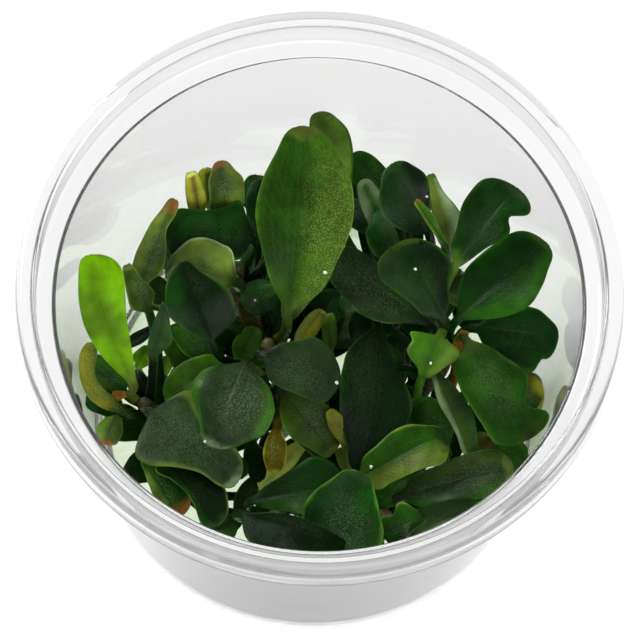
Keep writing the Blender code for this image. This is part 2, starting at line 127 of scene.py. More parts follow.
def turnedRings(profile, around):
    # A profile of radius and height pairs turned about the upright axis.
    profile = np.asarray(profile, float)
    angle = np.linspace(0, math.tau, around, endpoint=False)
    radius, height = profile[:, :1], profile[:, 1:]
    return np.stack((radius * np.cos(angle), radius * np.sin(angle),
                     np.repeat(height, around, axis=1)), -1)


def fill(node, values):
    # constant values, set directly on a node's sockets
    for title, value in values.items():
        node.inputs[title].default_value = value


class Wiring:
    # places nodes in a tree and joins them, so that a pattern reads as a list of steps
    def __init__(self, tree):
        self.tree = tree

    def put(self, kind, **settings):
        node = self.tree.nodes.new(kind)
        for title, value in settings.items():
            setattr(node, title, value)
        return node

    def join(self, source, target):
        if isinstance(source, bpy.types.NodeSocket):
            self.tree.links.new(source, target)
        else:
            target.default_value = source

    def math(self, operation, *sources):
        node = self.put("ShaderNodeMath", operation=operation)
        for source, target in zip(sources, node.inputs):
            self.join(source, target)
        return node.outputs[0]

    def plus(self, first, second):
        return self.math("ADD", first, second)

    def minus(self, first, second):
        return self.math("SUBTRACT", first, second)

    def times(self, first, second):
        return self.math("MULTIPLY", first, second)

    def blend(self, share, first, second, kind="MIX"):
        node = self.put("ShaderNodeMix", data_type="RGBA", blend_type=kind)
        for source, index in ((share, 0), (first, 6), (second, 7)):
            self.join(source, node.inputs[index])
        return node.outputs[2]

    def shade(self, color, share):
        grey = self.put("ShaderNodeCombineColor")
        for target in grey.inputs[:3]:
            self.join(share, target)
        return self.blend(1.0, color, grey.outputs[0], "MULTIPLY")

    def ramp(self, value, low, high, start=0.0, end=1.0):
        node = self.put("ShaderNodeMapRange", interpolation_type="SMOOTHSTEP")
        for source, index in ((value, 0), (low, 1), (high, 2), (start, 3), (end, 4)):
            self.join(source, node.inputs[index])
        return node.outputs[0]

    def noise(self, vector, scale, detail=2.0, roughness=0.5):
        node = self.put("ShaderNodeTexNoise")
        self.join(vector, node.inputs["Vector"])
        fill(node, {"Scale": scale, "Detail": detail, "Roughness": roughness})
        return node.outputs["Fac"]

    def attribute(self, title):
        return self.put("ShaderNodeAttribute", attribute_name=title).outputs["Fac"]

    def place(self):
        return self.put("ShaderNodeTexCoord").outputs["Object"]


def newGroup(name, inputs, outputs):
    tree = bpy.data.node_groups.new(name, "ShaderNodeTree")
    kinds = {"color": "NodeSocketColor", "number": "NodeSocketFloat"}
    for title, kind in inputs:
        tree.interface.new_socket(title, in_out="INPUT", socket_type=kinds[kind])
    for title, kind in outputs:
        tree.interface.new_socket(title, in_out="OUTPUT", socket_type=kinds[kind])
    wiring = Wiring(tree)
    return tree, wiring, wiring.put("NodeGroupInput").outputs, wiring.put("NodeGroupOutput").inputs


def newMaterial(name, values):
    material = bpy.data.materials.new(name)
    material.use_nodes = True
    shader = material.node_tree.nodes["Principled BSDF"]
    fill(shader, values)
    return material, Wiring(material.node_tree), shader


def addBump(wiring, shader, height, strength, distance):
    bump = wiring.put("ShaderNodeBump")
    fill(bump, {"Strength": strength, "Distance": distance})
    wiring.join(height, bump.inputs["Height"])
    wiring.join(bump.outputs["Normal"], shader.inputs["Normal"])


# The pattern on a leaf. Scales are those of Blender's textures; the rest are shares or strengths.
# haze is the painted sheen's grey, and edge is where the painted highlight along the margin starts
leafGrain = {"slow": 230.0, "wander": 0.5, "mottle": 520.0, "mottleRange": (0.55, 1.5), "cloud": 130.0,
             "cloudRange": (0.62, 1.38), "veinPitch": 46.0, "veinBow": 16.0, "veinWander": 5.0,
             "lengthwise": 17.0, "dots": 4400.0, "dotSize": 2600.0, "edge": 0.96, "haze": 0.07,
             "gloss": 900.0, "roughness": (0.26, 0.36), "fine": 2600.0, "bump": 0.5, "bumpDepth": 0.0003}


def leafPatternGroup():
    # Colour by place on the leaf: two halves, a darker middle, a margin, a tip and a heel. Over that come
    # slow mottling, veins that bow towards the tip, fine pale speckles, and a painted sheen and edge
    # highlight.
    grain = leafGrain
    tree, w, given, out = newGroup("leafPattern", [
        ("Left", "color"), ("Right", "color"), ("Middle", "color"), ("Margin", "color"),
        ("Tip", "color"), ("Heel", "color"), ("Under", "color"), ("Speckle", "color"),
        ("Middle Width", "number"), ("Margin Width", "number"), ("Tip Length", "number"),
        ("Speckles", "number"), ("Veins", "number"), ("Mottle", "number"), ("Seed", "number"),
        ("Painted Sheen Across", "number"), ("Painted Sheen Along", "number"), ("Painted Sheen Size", "number"),
    ], [("Color", "color"), ("Roughness", "number"), ("Height", "number")])
    across, along, under = w.attribute("across"), w.attribute("along"), w.attribute("under")
    wide = w.math("ABSOLUTE", across)
    place = w.put("ShaderNodeVectorMath", operation="ADD")
    w.join(w.place(), place.inputs[0])
    w.join(given["Seed"], place.inputs[1])
    place = place.outputs[0]

    slow = w.noise(place, grain["slow"], 3.0, 0.55)
    wander = w.times(w.minus(slow, 0.5), grain["wander"])
    halves = w.ramp(w.plus(across, w.times(wander, 0.3)), -0.12, 0.12)
    color = w.blend(halves, given["Left"], given["Right"])
    middle = w.ramp(w.plus(wide, wander), given["Middle Width"], 0.0)
    color = w.blend(middle, color, given["Middle"])
    heel = w.ramp(w.plus(along, w.times(wander, 0.4)), 0.16, -0.05)
    color = w.blend(heel, color, given["Heel"])
    tipStart = w.minus(1.0, given["Tip Length"])
    tip = w.ramp(w.plus(along, w.times(wander, 0.6)), tipStart,
                 w.plus(tipStart, w.times(given["Tip Length"], 0.7)))
    color = w.blend(w.times(tip, w.ramp(given["Tip Length"], 0.0, 0.02)), color, given["Tip"])
    marginStart = w.minus(1.0, given["Margin Width"])
    margin = w.ramp(w.plus(wide, w.times(wander, 0.5)), marginStart,
                    w.plus(marginStart, w.times(given["Margin Width"], 0.8)))
    blade = w.ramp(along, 0.0, 0.1)
    color = w.blend(w.times(margin, blade), color, given["Margin"])
    color = w.blend(under, color, given["Under"])

    mottle = w.ramp(w.noise(place, grain["mottle"], 4.0, 0.6), 0.3, 0.7, *grain["mottleRange"])
    mottle = w.plus(w.times(w.minus(mottle, 1.0), given["Mottle"]), 1.0)
    cloud = w.ramp(w.noise(place, grain["cloud"], 2.0, 0.5), 0.3, 0.7, *grain["cloudRange"])
    color = w.shade(color, w.times(mottle, cloud))

    bowed = w.minus(w.times(along, grain["veinPitch"]), w.times(wide, grain["veinBow"]))
    bowed = w.plus(bowed, w.times(wander, grain["veinWander"]))
    vein = w.math("POWER", w.math("ABSOLUTE", w.math("SINE", bowed)), 14.0)
    length = w.math("SINE", w.times(across, grain["lengthwise"]))
    length = w.math("POWER", w.math("ABSOLUTE", length), 8.0)
    vein = w.plus(w.times(vein, 0.5), w.times(length, 0.5))
    vein = w.times(w.times(vein, given["Veins"]), w.ramp(wide, 1.0, 0.85))
    midrib = w.times(w.ramp(wide, 0.07, 0.0), w.ramp(along, 0.95, 0.5))

    # painted sheen: pale speckles and a grey haze painted denser in one oval about its place on the upper
    # side
    offAcross = w.minus(across, given["Painted Sheen Across"])
    offAlong = w.times(w.minus(along, given["Painted Sheen Along"]), 1.7)
    off = w.math("SQRT", w.plus(w.times(offAcross, offAcross), w.times(offAlong, offAlong)))
    off = w.plus(w.math("DIVIDE", off, given["Painted Sheen Size"]), w.times(wander, 1.4))
    patches = w.times(w.ramp(off, 1.0, 0.25), w.minus(1.0, under))
    dots = w.put("ShaderNodeTexVoronoi", feature="F1")
    w.join(place, dots.inputs["Vector"])
    fill(dots, {"Scale": grain["dots"], "Randomness": 1.0})
    size = w.plus(w.times(w.noise(place, grain["dotSize"], 2.0, 0.5), 0.6), 0.16)
    speck = w.ramp(dots.outputs["Distance"], size, w.times(size, 0.5))
    # the speckles are real; there are few outside the oval, and inside it they are painted denser as sheen
    speckleAndSheenShare = w.times(w.times(speck, given["Speckles"]), w.plus(w.times(patches, 0.92), 0.08))
    # the speckle colour paints the pale veins, the painted highlight, the painted sheen's haze and the
    # speckles
    color = w.blend(w.times(vein, 0.3), color, given["Speckle"])
    # painted highlight: a thin pale line along parts of the margin, where the blade's edge catches light
    edge = w.times(w.ramp(wide, grain["edge"], 1.0), w.ramp(slow, 0.42, 0.62, 0.0, 0.5))
    color = w.blend(w.times(edge, blade), color, given["Speckle"])
    # painted sheen: a grey haze over the oval
    haze = w.times(w.times(patches, given["Speckles"]), grain["haze"])
    color = w.blend(haze, color, given["Speckle"])
    w.join(w.blend(speckleAndSheenShare, color, given["Speckle"]), out["Color"])

    rough = w.ramp(w.noise(place, grain["gloss"], 3.0, 0.6), 0.3, 0.7, *grain["roughness"])
    w.join(w.plus(rough, w.times(speckleAndSheenShare, 0.15)), out["Roughness"])
    fine = w.noise(place, grain["fine"], 3.0, 0.6)
    raised = w.plus(w.plus(w.times(fine, 0.15), w.times(speckleAndSheenShare, 0.2)), w.times(slow, 1.2))
    w.join(w.minus(w.minus(raised, w.times(midrib, 0.8)), w.times(vein, 0.8)), out["Height"])
    return tree


leafPattern = leafPatternGroup()

# The greens of the plant and what goes with them, as they look on a screen, 0 to 255
greens = {
    "black": (18, 33, 14), "dark": (24, 54, 17), "leaf": (36, 76, 20), "fresh": (56, 100, 26),
    "spring": (86, 122, 40), "grey": (40, 60, 33), "silver": (110, 130, 92), "olive": (52, 72, 26),
    "khaki": (86, 104, 42), "gold": (118, 122, 34), "straw": (150, 160, 80), "lime": (97, 149, 8),
    "brown": (76, 68, 22), "rust": (130, 84, 40), "dust": (78, 96, 60), "chalk": (112, 126, 94),
}

# Leaf finishes. Each place on a leaf has the blade's green unless it names another of the greens.
looks = {
    "dark": {"blade": "dark", "margin": "leaf", "under": "leaf", "speckle": "dust", "speckles": 0.3,
             "gloss": 0.1},
    "deep": {"blade": "black", "margin": "leaf", "under": "fresh", "speckle": "dust", "speckles": 0.25,
             "gloss": 0.1, "marginWidth": 0.12},
    "mid": {"blade": "leaf", "margin": "fresh", "under": "fresh", "speckle": "chalk", "speckles": 0.4,
            "gloss": 0.08},
    "grey": {"blade": "grey", "margin": "leaf", "under": "leaf", "speckle": "chalk", "speckles": 0.5,
             "veins": 0.1, "mottle": 0.3, "gloss": 0.14, "middleWidth": 0.7, "marginWidth": 0.12},
    "olive": {"blade": "olive", "margin": "khaki", "under": "khaki", "speckle": "chalk", "speckles": 0.6,
              "mottle": 0.35, "gloss": 0.1, "marginWidth": 0.18},
    "bright": {"blade": "fresh", "margin": "spring", "under": "spring", "speckle": "chalk", "speckles": 0.3,
               "gloss": 0.07},
    "lime": {"blade": "lime", "margin": "lime", "under": "lime", "speckle": "straw", "speckles": 0.06,
             "veins": 0.3, "mottle": 0.2, "gloss": 0.05, "tipLength": 0.08},
    "brown": {"blade": "brown", "margin": "gold", "under": "brown", "speckle": "straw", "speckles": 0.5,
              "mottle": 0.6, "gloss": 0.06, "marginWidth": 0.2, "tipLength": 0.15},
}
# the sheen entry gives the across, along and size of the oval where the painted sheen lies
plainLook = {"middleWidth": 0.6, "marginWidth": 0.14, "tipLength": 0.1, "veins": 0.15, "mottle": 0.25,
             "toneAndPaintedLight": 1.0, "paintedSheen": (0.1, 0.45, 0.8)}
# how bright each place is against the blade, where a leaf names no green for it
placeShades = {"left": 1.0, "right": 1.1, "middle": 0.85, "margin": 1.0, "tip": 1.3, "heel": 0.75,
               "under": 1.0, "speckle": 1.0}
leafNumbers = {"middleWidth": "Middle Width", "marginWidth": "Margin Width", "tipLength": "Tip Length",
               "speckles": "Speckles", "veins": "Veins", "mottle": "Mottle"}
film = {"grey": 0.006, "least": 0.3}  # what the sheen adds to a leaf, and the share of its green that is kept


def leafColor(shown, lift):
    # A leaf's colour as it looks, less the grey that its sheen adds, painted brighter by lift where little
    # light comes.
    linear = np.array(fromPicture(*shown)[:3])
    return (*(np.maximum(linear - film["grey"], linear * film["least"]) * lift).tolist(), 1.0)


def leafMaterial(name, look, seed, lift=1.0):
    look = {**plainLook, **look}
    material, w, shader = newMaterial(name, {"Specular IOR Level": look["gloss"]})
    pattern = w.put("ShaderNodeGroup", node_tree=leafPattern)
    for title, shade in placeShades.items():
        green = greens[look.get(title, look["blade"])]
        # a leaf's brightness step is its own tone, with painted light on leaves deep in the plant and painted
        # shade on some high ones
        # lift is painted light too, brighter the deeper the leaf lies
        share = look["toneAndPaintedLight"] * lift * (1.0 if title in look else shade)
        pattern.inputs[title.capitalize()].default_value = leafColor(green, share)
    fill(pattern, {socket: look[title] for title, socket in leafNumbers.items()})
    fill(pattern, {"Seed": seed, **dict(zip(("Painted Sheen Across", "Painted Sheen Along", "Painted Sheen Size"), look["paintedSheen"]))})
    w.join(pattern.outputs["Color"], shader.inputs["Base Color"])
    w.join(pattern.outputs["Roughness"], shader.inputs["Roughness"])
    addBump(w, shader, pattern.outputs["Height"], leafGrain["bump"], leafGrain["bumpDepth"])
    return material


# Each rhizome: its foot on the gel, its crown, where the leaves leave it, and its bow
stems = {
    "left": {"foot": (-21.0, -10.0), "crown": (-28.5, -11.0, 37.5), "bow": (1.0, 2.5)},
    "centre": {"foot": (-5.0, -5.0), "crown": (-8.5, 0.0, 41.0), "bow": (2.5, -1.0)},
    "right": {"foot": (15.0, -2.0), "crown": (21.5, 0.3, 39.3), "bow": (-1.0, -2.5)},
    "back_right": {"foot": (10.0, 10.0), "crown": (16.0, 14.5, 41.0), "bow": (1.0, -2.0)},
    "back_left": {"foot": (-10.0, 8.0), "crown": (-14.0, 15.0, 37.5), "bow": (-2.0, -1.0)},
    "front_left": {"foot": (-5.0, -18.0), "crown": (-5.8, -26.3, 33.0), "bow": (2.0, 0.0)},
    "front_right": {"foot": (8.0, -17.0), "crown": (12.5, -26.5, 33.0), "bow": (2.0, 1.0)},
}
stemMake = {"radius": 1.3, "footLift": 0.6, "ringStep": 1.7, "ringDepth": 0.13, "scarDepth": 0.1,
            "scarTurns": (2.4, 1.9), "bluntness": 24, "around": 20, "steps": 90, "rankStep": 1.7,
            "firstRank": 1.0, "touchGap": 0.3}
barkMake = {"moss": (58, 70, 26), "brown": (96, 84, 40), "dry": (160, 150, 110), "patches": 420.0,
            "flecks": 1800.0, "fleckShare": 0.6, "grain": 1500.0, "bump": 0.6, "bumpDepth": 0.0002}


def stemPath(stem, count):
    # upright at its foot on the gel, then leaning to its crown on a cubic Bezier curve
    foot = np.array((*stem["foot"], gelHigh[2] + stemMake["footLift"]))
    crown = np.array(stem["crown"])
    rise = np.array((0.0, 0.0, (crown[2] - foot[2]) * 0.35))
    bow = np.array((*stem["bow"], 0.0))
    return bezier((foot, foot + rise, crown - rise + bow, crown), np.linspace(0, 1, count))


def rhizomeSkin(stem, seed):
    # A tube whose radius dips at each old leaf's ring and swells beside it, blunt at both ends.
    make = stemMake
    path = stemPath(stem, make["steps"])
    travel = np.concatenate(([0], np.cumsum(np.linalg.norm(np.diff(path, axis=0), axis=1))))
    turn = np.linspace(0, math.tau, make["around"], endpoint=False)
    ring = np.abs(np.cos(math.pi * travel / make["ringStep"])) ** 6
    twist, beat = (travel[:, None] * step + seed for step in make["scarTurns"])
    scar = np.sin(turn[None] * 2 + twist) * np.sin(beat)
    ends = np.sqrt(np.clip(1 - (np.abs(travel / travel[-1] - 0.5) * 2) ** make["bluntness"], 0.05, 1))
    radii = make["radius"] - make["ringDepth"] * ring[:, None] + make["scarDepth"] * scar
    return ringSkin(tubeRings(path, radii * ends[:, None], make["around"]))


def rhizomeMaterial():
    # Green bark, browner in patches, with pale dry flecks.
    material, w, shader = newMaterial("rhizome", {})
    place = w.place()
    patches = w.ramp(w.noise(place, barkMake["patches"], 4.0, 0.6), 0.35, 0.65)
    color = w.blend(patches, fromPicture(*barkMake["moss"]), fromPicture(*barkMake["brown"]))
    flecks = w.ramp(w.noise(place, barkMake["flecks"], 3.0, 0.7), 0.6, 0.72)
    color = w.blend(w.times(flecks, barkMake["fleckShare"]), color, fromPicture(*barkMake["dry"]))
    w.join(color, shader.inputs["Base Color"])
    w.join(w.ramp(flecks, 0.0, 1.0, 0.45, 0.7), shader.inputs["Roughness"])
    grain = w.noise(place, barkMake["grain"], 4.0, 0.6)
    addBump(w, shader, grain, barkMake["bump"], barkMake["bumpDepth"])
    return material


bark = rhizomeMaterial()
for number, (name, stem) in enumerate(stems.items()):
    node = "rhizome_" + name
    makePiece(node + "_bark", [rhizomeSkin(stem, number)], bark, nodes=[node])
print("rhizomes made")

# What all leaves share, then what a leaf has unless its own line says otherwise. Angles are in degrees.
leafMake = {"petioleHalfWidth": 0.75, "petioleThickness": 1.1, "tipHalfWidth": 0.4, "bladeThickness": 0.3,
            "ribHeight": 0.32, "ribHalfWidth": 0.5, "grooveDepth": 0.14, "grooveHalfWidth": 0.3,
            "ripple": 0.35, "ripples": 1.6, "sectionSteps": 40, "bladeRows": 44, "petioleRows": 12,
            "columns": 25}
leafShape = {"arch": 1.2, "sweep": 0.0, "roll": 0.0, "twist": 0.0, "fold": 6.0, "cup": 0.0,
             "curlLeft": 0.0, "curlRight": 0.0, "left": None, "right": None,
             "biteLeft": (0.5, 0.1, 0.0), "biteRight": (0.5, 0.1, 0.0), "tint": {}}

# Places along a blade where its half widths are given in millimetres, and the half widths there of a leaf
# that has none of its own, as shares of half its width
stations = np.array((0.1, 0.3, 0.5, 0.7, 0.9))
plainOutline = (0.55, 0.9, 1.0, 0.88, 0.56)


def grow(stem, rank, base, tip, look, **own):
    # A leaf: the rhizome it grows on, its place down from the crown, where its blade starts and ends, and
    # its finish. All else is leafShape's unless it is given.
    return {**leafShape, "stem": stem, "rank": rank, "base": base, "tip": tip, "look": look, **own}


# The names are those of the CAD nodes without leaf_.
leaves = {
    "centre_tall": grow("centre", 0, (-5, 2.5, 50), (-4.5, 31.5, 60), "mid", left=(3.1, 5.8, 7.5, 6.5, 3.5),
        right=(4.2, 7.0, 8.8, 8.1, 4.7), arch=1.5, sweep=0.8, fold=8, tint=dict(toneAndPaintedLight=0.85, right="fresh",
        tip="khaki", heel="olive", speckle="straw", speckles=0.7, paintedSheen=(0.75, 0.4, 0.95))),
    "middle_grey": grow("centre", 1, (-8.5, -5, 48), (4, -8.5, 45), "grey", left=(2.2, 4.0, 5.8, 5.0, 2.9),
        right=(3.4, 4.6, 4.8, 4.7, 3.8), arch=1.5, fold=4, cup=-12, tint=dict(toneAndPaintedLight=0.65, heel="black",
        speckles=0.5, paintedSheen=(0.3, 0.45, 1.0))),
    "middle_round": grow("centre", 3, (-12, -6.2, 46), (-16.5, -20.5, 44.5), "olive",
        left=(4.5, 7.4, 8.1, 7.5, 4.2), right=(4.4, 6.6, 6.6, 4.6, 2.2), arch=2.5, fold=2, cup=-20,
        curlRight=-20, tint=dict(toneAndPaintedLight=0.85, blade="grey", margin="fresh", marginWidth=0.34, middleWidth=0.8,
        tip="silver", speckles=0.8, paintedSheen=(-0.35, 0.45, 0.95))),
    "left_dark_pointed": grow("centre", 2, (-17.5, -3.2, 48.5), (-23.5, 8.5, 53.5), "deep",
        left=(2.0, 4.2, 5.4, 4.5, 2.6), right=(4.2, 5.7, 5.5, 3.4, 1.6), arch=1.0, tint=dict(left="dark",
        tip="olive", paintedSheen=(0.3, 0.7, 0.5))),
    "middle_left_bright": grow("centre", 5, (-15, -4.5, 40), (-25, -9.5, 37), "bright",
        left=(1.5, 2.5, 3.0, 2.4, 1.2), right=(2.4, 3.4, 3.7, 3.1, 1.8), tint=dict(toneAndPaintedLight=1.2, heel="olive")),
    "middle_speckled": grow("centre", 4, (-5, -9, 40), (3.5, -17, 34.5), "mid",
        left=(2.0, 3.4, 4.2, 3.3, 2.7), right=(2.4, 4.1, 4.0, 2.8, 1.6), arch=1.5, tint=dict(blade="olive",
        tip="khaki", heel="black", paintedSheen=(-0.2, 0.5, 0.9))),
    "left_inner_small": grow("centre", 6, (-18, -2.5, 36), (-24, 2.5, 38), "mid", width=4.5,
        tint=dict(toneAndPaintedLight=1.3)),
    "old_brown": grow("centre", 8, (-6, -12.5, 33), (-6, -19, 29), "brown", width=4, arch=0.6,
        tint=dict(toneAndPaintedLight=1.8, tip="gold")),
    "left_rolled_margin": grow("back_left", 0, (-14.5, 8.5, 46), (-26, 10, 46), "bright",
        left=(2.0, 3.2, 4.0, 3.4, 2.2), right=(4.2, 6.0, 6.4, 5.4, 3.0), curlRight=80, tint=dict(toneAndPaintedLight=1.8,
        blade="olive", right="khaki", margin="silver", marginWidth=0.12, heel="black")),
    "back_left_dark": grow("back_left", 1, (-12.5, 18, 42), (-26.5, 17, 46), "dark",
        left=(3.5, 4.4, 4.8, 4.8, 4.4), right=(5.4, 5.0, 3.8, 3.7, 3.4), roll=-8, tint=dict(toneAndPaintedLight=1.5,
        left="black", heel="black")),
    "back_left_yellow": grow("back_left", 2, (-21.3, 22.0, 41), (-22.7, 26.5, 49.6), "olive",
        left=(1.2, 1.6, 1.7, 1.6, 1.0), right=(1.2, 1.5, 1.6, 1.4, 0.9), tint=dict(toneAndPaintedLight=2.0, blade="gold",
        middle="brown", tip="straw", heel="leaf")),
    "back_left_olive": grow("back_left", 4, (-16.7, 23.2, 41), (-18, 28.4, 50.4), "olive",
        left=(2.4, 2.8, 2.6, 2.4, 1.3), right=(2.6, 3.2, 3.4, 3.2, 1.6), tint=dict(toneAndPaintedLight=2.2, right="khaki",
        tip="rust", heel="dark")),
    "back_dark": grow("back_left", 3, (-8.8, 18.2, 39.7), (-11.3, 28.7, 42.7), "dark", width=6.6,
        tint=dict(toneAndPaintedLight=0.9, right="leaf")),
    "middle_back": grow("centre", 7, (-9.2, 7, 36), (-11.3, 12, 38), "dark", width=6.7, tint=dict(toneAndPaintedLight=1.4,
        left="grey", heel="black")),
    "left_upright": grow("back_left", 5, (-30, 8, 42), (-25, 19.5, 54), "olive",
        left=(2.2, 2.7, 2.5, 2.1, 1.0), right=(1.0, 2.6, 1.8, 0.6, 0.9), tint=dict(toneAndPaintedLight=1.5, left="khaki",
        tip="rust", tipLength=0.18)),
    "young_spike": grow("back_right", 0, (20.3, 14.6, 52), (15, 19.2, 60), "bright", width=2, arch=0.5,
        fold=40, tint=dict(left="spring", tip="rust")),
    "back_right_glossy": grow("back_right", 1, (17.5, 17.8, 50), (11, 27, 57), "dark",
        left=(2.5, 5.0, 6.2, 5.5, 3.0), right=(1.5, 2.0, 3.0, 3.5, 2.2), arch=1.5, tint=dict(toneAndPaintedLight=0.7,
        middle="grey", right="black", tip="leaf", gloss=0.15, paintedSheen=(-0.1, 0.5, 0.5))),
    "back_right_outer": grow("back_right", 2, (21.3, 17.3, 46), (17.4, 27.5, 52), "dark",
        left=(1.0, 1.6, 1.6, 1.3, 0.9), right=(2.0, 3.2, 2.5, 1.3, 0.6), tint=dict(toneAndPaintedLight=1.6, left="khaki",
        middle="khaki", right="silver", tip="fresh", heel="fresh")),
    "back_right_mid": grow("back_right", 4, (11, 18.5, 42), (6, 27, 49), "dark", width=4.7,
        tint=dict(toneAndPaintedLight=1.3, blade="silver", middle="fresh", heel="dark")),
    "back_right_small": grow("back_right", 3, (12.5, 15.5, 46), (9, 21.5, 49), "dark",
        left=(3.2, 4.1, 4.2, 3.6, 1.4), right=(0.9, 1.1, 1.0, 0.6, 0.5), tint=dict(toneAndPaintedLight=1.8, middle="grey",
        right="grey", heel="black")),
    "back_right_low": grow("back_right", 5, (11.5, 26, 42), (4, 33, 45.5), "mid",
        left=(1.8, 2.8, 3.3, 3.2, 2.2), right=(1.8, 2.6, 2.7, 2.4, 1.6), tint=dict(toneAndPaintedLight=1.2)),
    "back_tall": grow("back_right", 6, (1.5, 25.5, 46), (-2, 38.5, 50), "mid",
        left=(2.5, 3.5, 3.5, 3.0, 1.8), right=(2.5, 3.5, 3.9, 3.6, 2.1), sweep=0.5,
        tint=dict(blade="spring", tip="khaki")),
    "right_inner": grow("right", 0, (20.5, 2.5, 50.5), (13, 14, 54.5), "dark",
        left=(2.6, 3.8, 5.1, 6.3, 5.0), right=(2.0, 3.5, 5.3, 4.9, 3.1), tint=dict(toneAndPaintedLight=0.8, left="grey",
        middle="dark", right="black", tip="olive", heel="grey")),
    "right_upper": grow("right", 1, (23.5, 3.3, 49), (37.5, 16.5, 51), "dark",
        left=(2.8, 5.2, 5.6, 5.2, 4.1), right=(2.6, 5.4, 6.7, 5.3, 2.8), tint=dict(toneAndPaintedLight=1.2, right="leaf",
        tip="olive", paintedSheen=(0.3, 0.6, 0.8))),
    "right_hooked": grow("right", 3, (22.5, 11, 53.5), (31.5, 23.5, 58), "dark",
        left=(2.4, 3.6, 4.9, 5.2, 4.4), right=(1.4, 2.6, 4.1, 4.7, 4.3), biteRight=(0.71, 0.09, 0.5),
        tint=dict(toneAndPaintedLight=0.9, tip="grey", heel="spring")),
    "right_lobed": grow("right", 2, (20.3, -0.8, 50), (18, -6.5, 45.5), "bright",
        left=(3.6, 4.1, 3.0, 2.0, 0.9), right=(4.2, 3.9, 4.0, 2.7, 0.9), tint=dict(left="spring",
        tip="leaf", heel="olive", paintedSheen=(-0.5, 0.3, 0.5))),
    "middle_right": grow("right", 4, (18.5, 3, 46), (1, 13, 47), "grey", left=(1.6, 4.6, 5.8, 4.5, 2.6),
        right=(1.5, 3.0, 3.6, 3.8, 3.4), tint=dict(toneAndPaintedLight=0.9, middle="dark", tip="olive",
        paintedSheen=(-0.1, 0.6, 1.1))),
    "right_bitten": grow("right", 6, (26.8, 3.8, 43), (40.3, 2.8, 42), "dark",
        left=(2.5, 3.8, 4.6, 4.4, 2.5), right=(3.0, 4.8, 6.2, 6.6, 3.3), roll=8,
        biteRight=(0.82, 0.05, 0.2), tint=dict(toneAndPaintedLight=1.3)),
    "right_large": grow("right", 5, (25.2, 0, 46), (36.8, -15.3, 44), "mid", left=(2.2, 3.4, 4.7, 4.6, 4.4),
        right=(4.0, 6.0, 6.3, 6.4, 5.6), biteLeft=(0.74, 0.12, 0.62), tint=dict(toneAndPaintedLight=0.9, tip="olive",
        heel="khaki")),
    "right_twisted": grow("right", 7, (20.2, -4.8, 42), (27, -17.5, 37), "deep",
        left=(1.5, 2.5, 3.0, 2.6, 1.5), right=(1.2, 1.6, 1.2, 0.8, 1.0), twist=40, tint=dict(toneAndPaintedLight=1.2,
        left="grey", middle="olive", right="silver", tip="khaki", heel="black")),
    "middle_black": grow("right", 8, (10, 3, 43), (8, -20.5, 36.5), "deep", left=(1.5, 3.4, 6.0, 5.2, 2.2),
        right=(4.2, 6.2, 6.2, 5.2, 2.4), sweep=-1.5, tint=dict(margin="dark", paintedSheen=(0.45, 0.35, 0.8))),
    "right_golden": grow("right", 9, (32, -4, 37), (38.5, -6.3, 36), "olive", width=7.2,
        tint=dict(left="gold", right="dark", tip="gold")),
    "left_lime": grow("left", 0, (-30.5, -10, 46), (-38.5, 7, 58), "lime", left=(1.5, 3.0, 3.7, 3.3, 2.0),
        right=(1.5, 2.7, 3.5, 4.4, 4.2), sweep=-0.9, tint=dict(toneAndPaintedLight=1.15, heel="khaki")),
    "left_narrow": grow("left", 1, (-27.2, -5, 42), (-25.5, 2.5, 50), "deep",
        left=(1.0, 1.4, 1.3, 1.0, 0.5), right=(0.6, 1.8, 2.6, 1.6, 0.6), tint=dict(toneAndPaintedLight=1.4, blade="grey",
        heel="black")),
    "front_left_large": grow("left", 2, (-27, -13.5, 40), (-12.1, -24.5, 38), "grey",
        left=(6.0, 5.2, 4.2, 4.2, 3.4), right=(6.2, 7.8, 5.2, 2.8, 2.0), arch=1.6, tint=dict(margin="khaki",
        marginWidth=0.26, tip="silver", speckles=0.5, paintedSheen=(0.0, 0.4, 1.1))),
    "left_outer": grow("left", 4, (-32, -9, 37), (-39, -4, 38), "mid", left=(2.0, 2.6, 2.8, 2.2, 1.2),
        right=(2.2, 2.8, 3.0, 2.6, 1.4), tint=dict(toneAndPaintedLight=1.3, left="olive", middle="dark", tip="spring")),
    "left_curled": grow("left", 3, (-32.5, -13, 40), (-37.5, -3.5, 45), "lime",
        left=(1.3, 1.6, 1.5, 1.4, 1.2), right=(1.3, 1.6, 1.5, 1.4, 1.2), sweep=-3, cup=-60,
        tint=dict(toneAndPaintedLight=1.2, blade="gold", right="khaki", heel="dark", speckles=0.9, paintedSheen=(0.0, 0.6, 1.4))),
    "left_olive": grow("left", 5, (-28.5, 3.5, 43.5), (-32.5, 9.5, 48.5), "olive",
        left=(2.0, 2.9, 2.5, 1.8, 1.0), right=(0.9, 1.9, 1.6, 0.8, 0.5), tint=dict(toneAndPaintedLight=1.6, tip="khaki",
        heel="dark")),
    "front_left_dark": grow("left", 6, (-24.5, -19.5, 36), (-15, -31.5, 36), "deep",
        left=(1.2, 2.6, 4.2, 4.7, 3.2), right=(2.8, 1.6, 0.9, 1.1, 1.6), tint=dict(toneAndPaintedLight=1.2, right="dark",
        margin="khaki", heel="leaf", tip="grey")),
    "front_left_red_tip": grow("left", 7, (-27, -21, 33), (-21.5, -29, 32), "mid",
        left=(1.5, 2.7, 3.5, 3.6, 2.6), right=(1.2, 1.6, 1.9, 1.2, 0.9), tint=dict(toneAndPaintedLight=1.4, left="dark",
        right="khaki", tip="rust", tipLength=0.3)),
    "left_old_tip": grow("left", 8, (-33, -11.5, 33), (-34.5, -16, 30), "olive", width=4.3,
        tint=dict(toneAndPaintedLight=1.2, right="spring", tip="rust", tipLength=0.3)),
    "front_rim": grow("front_left", 0, (-10.5, -31.5, 43), (6.5, -37, 46), "deep",
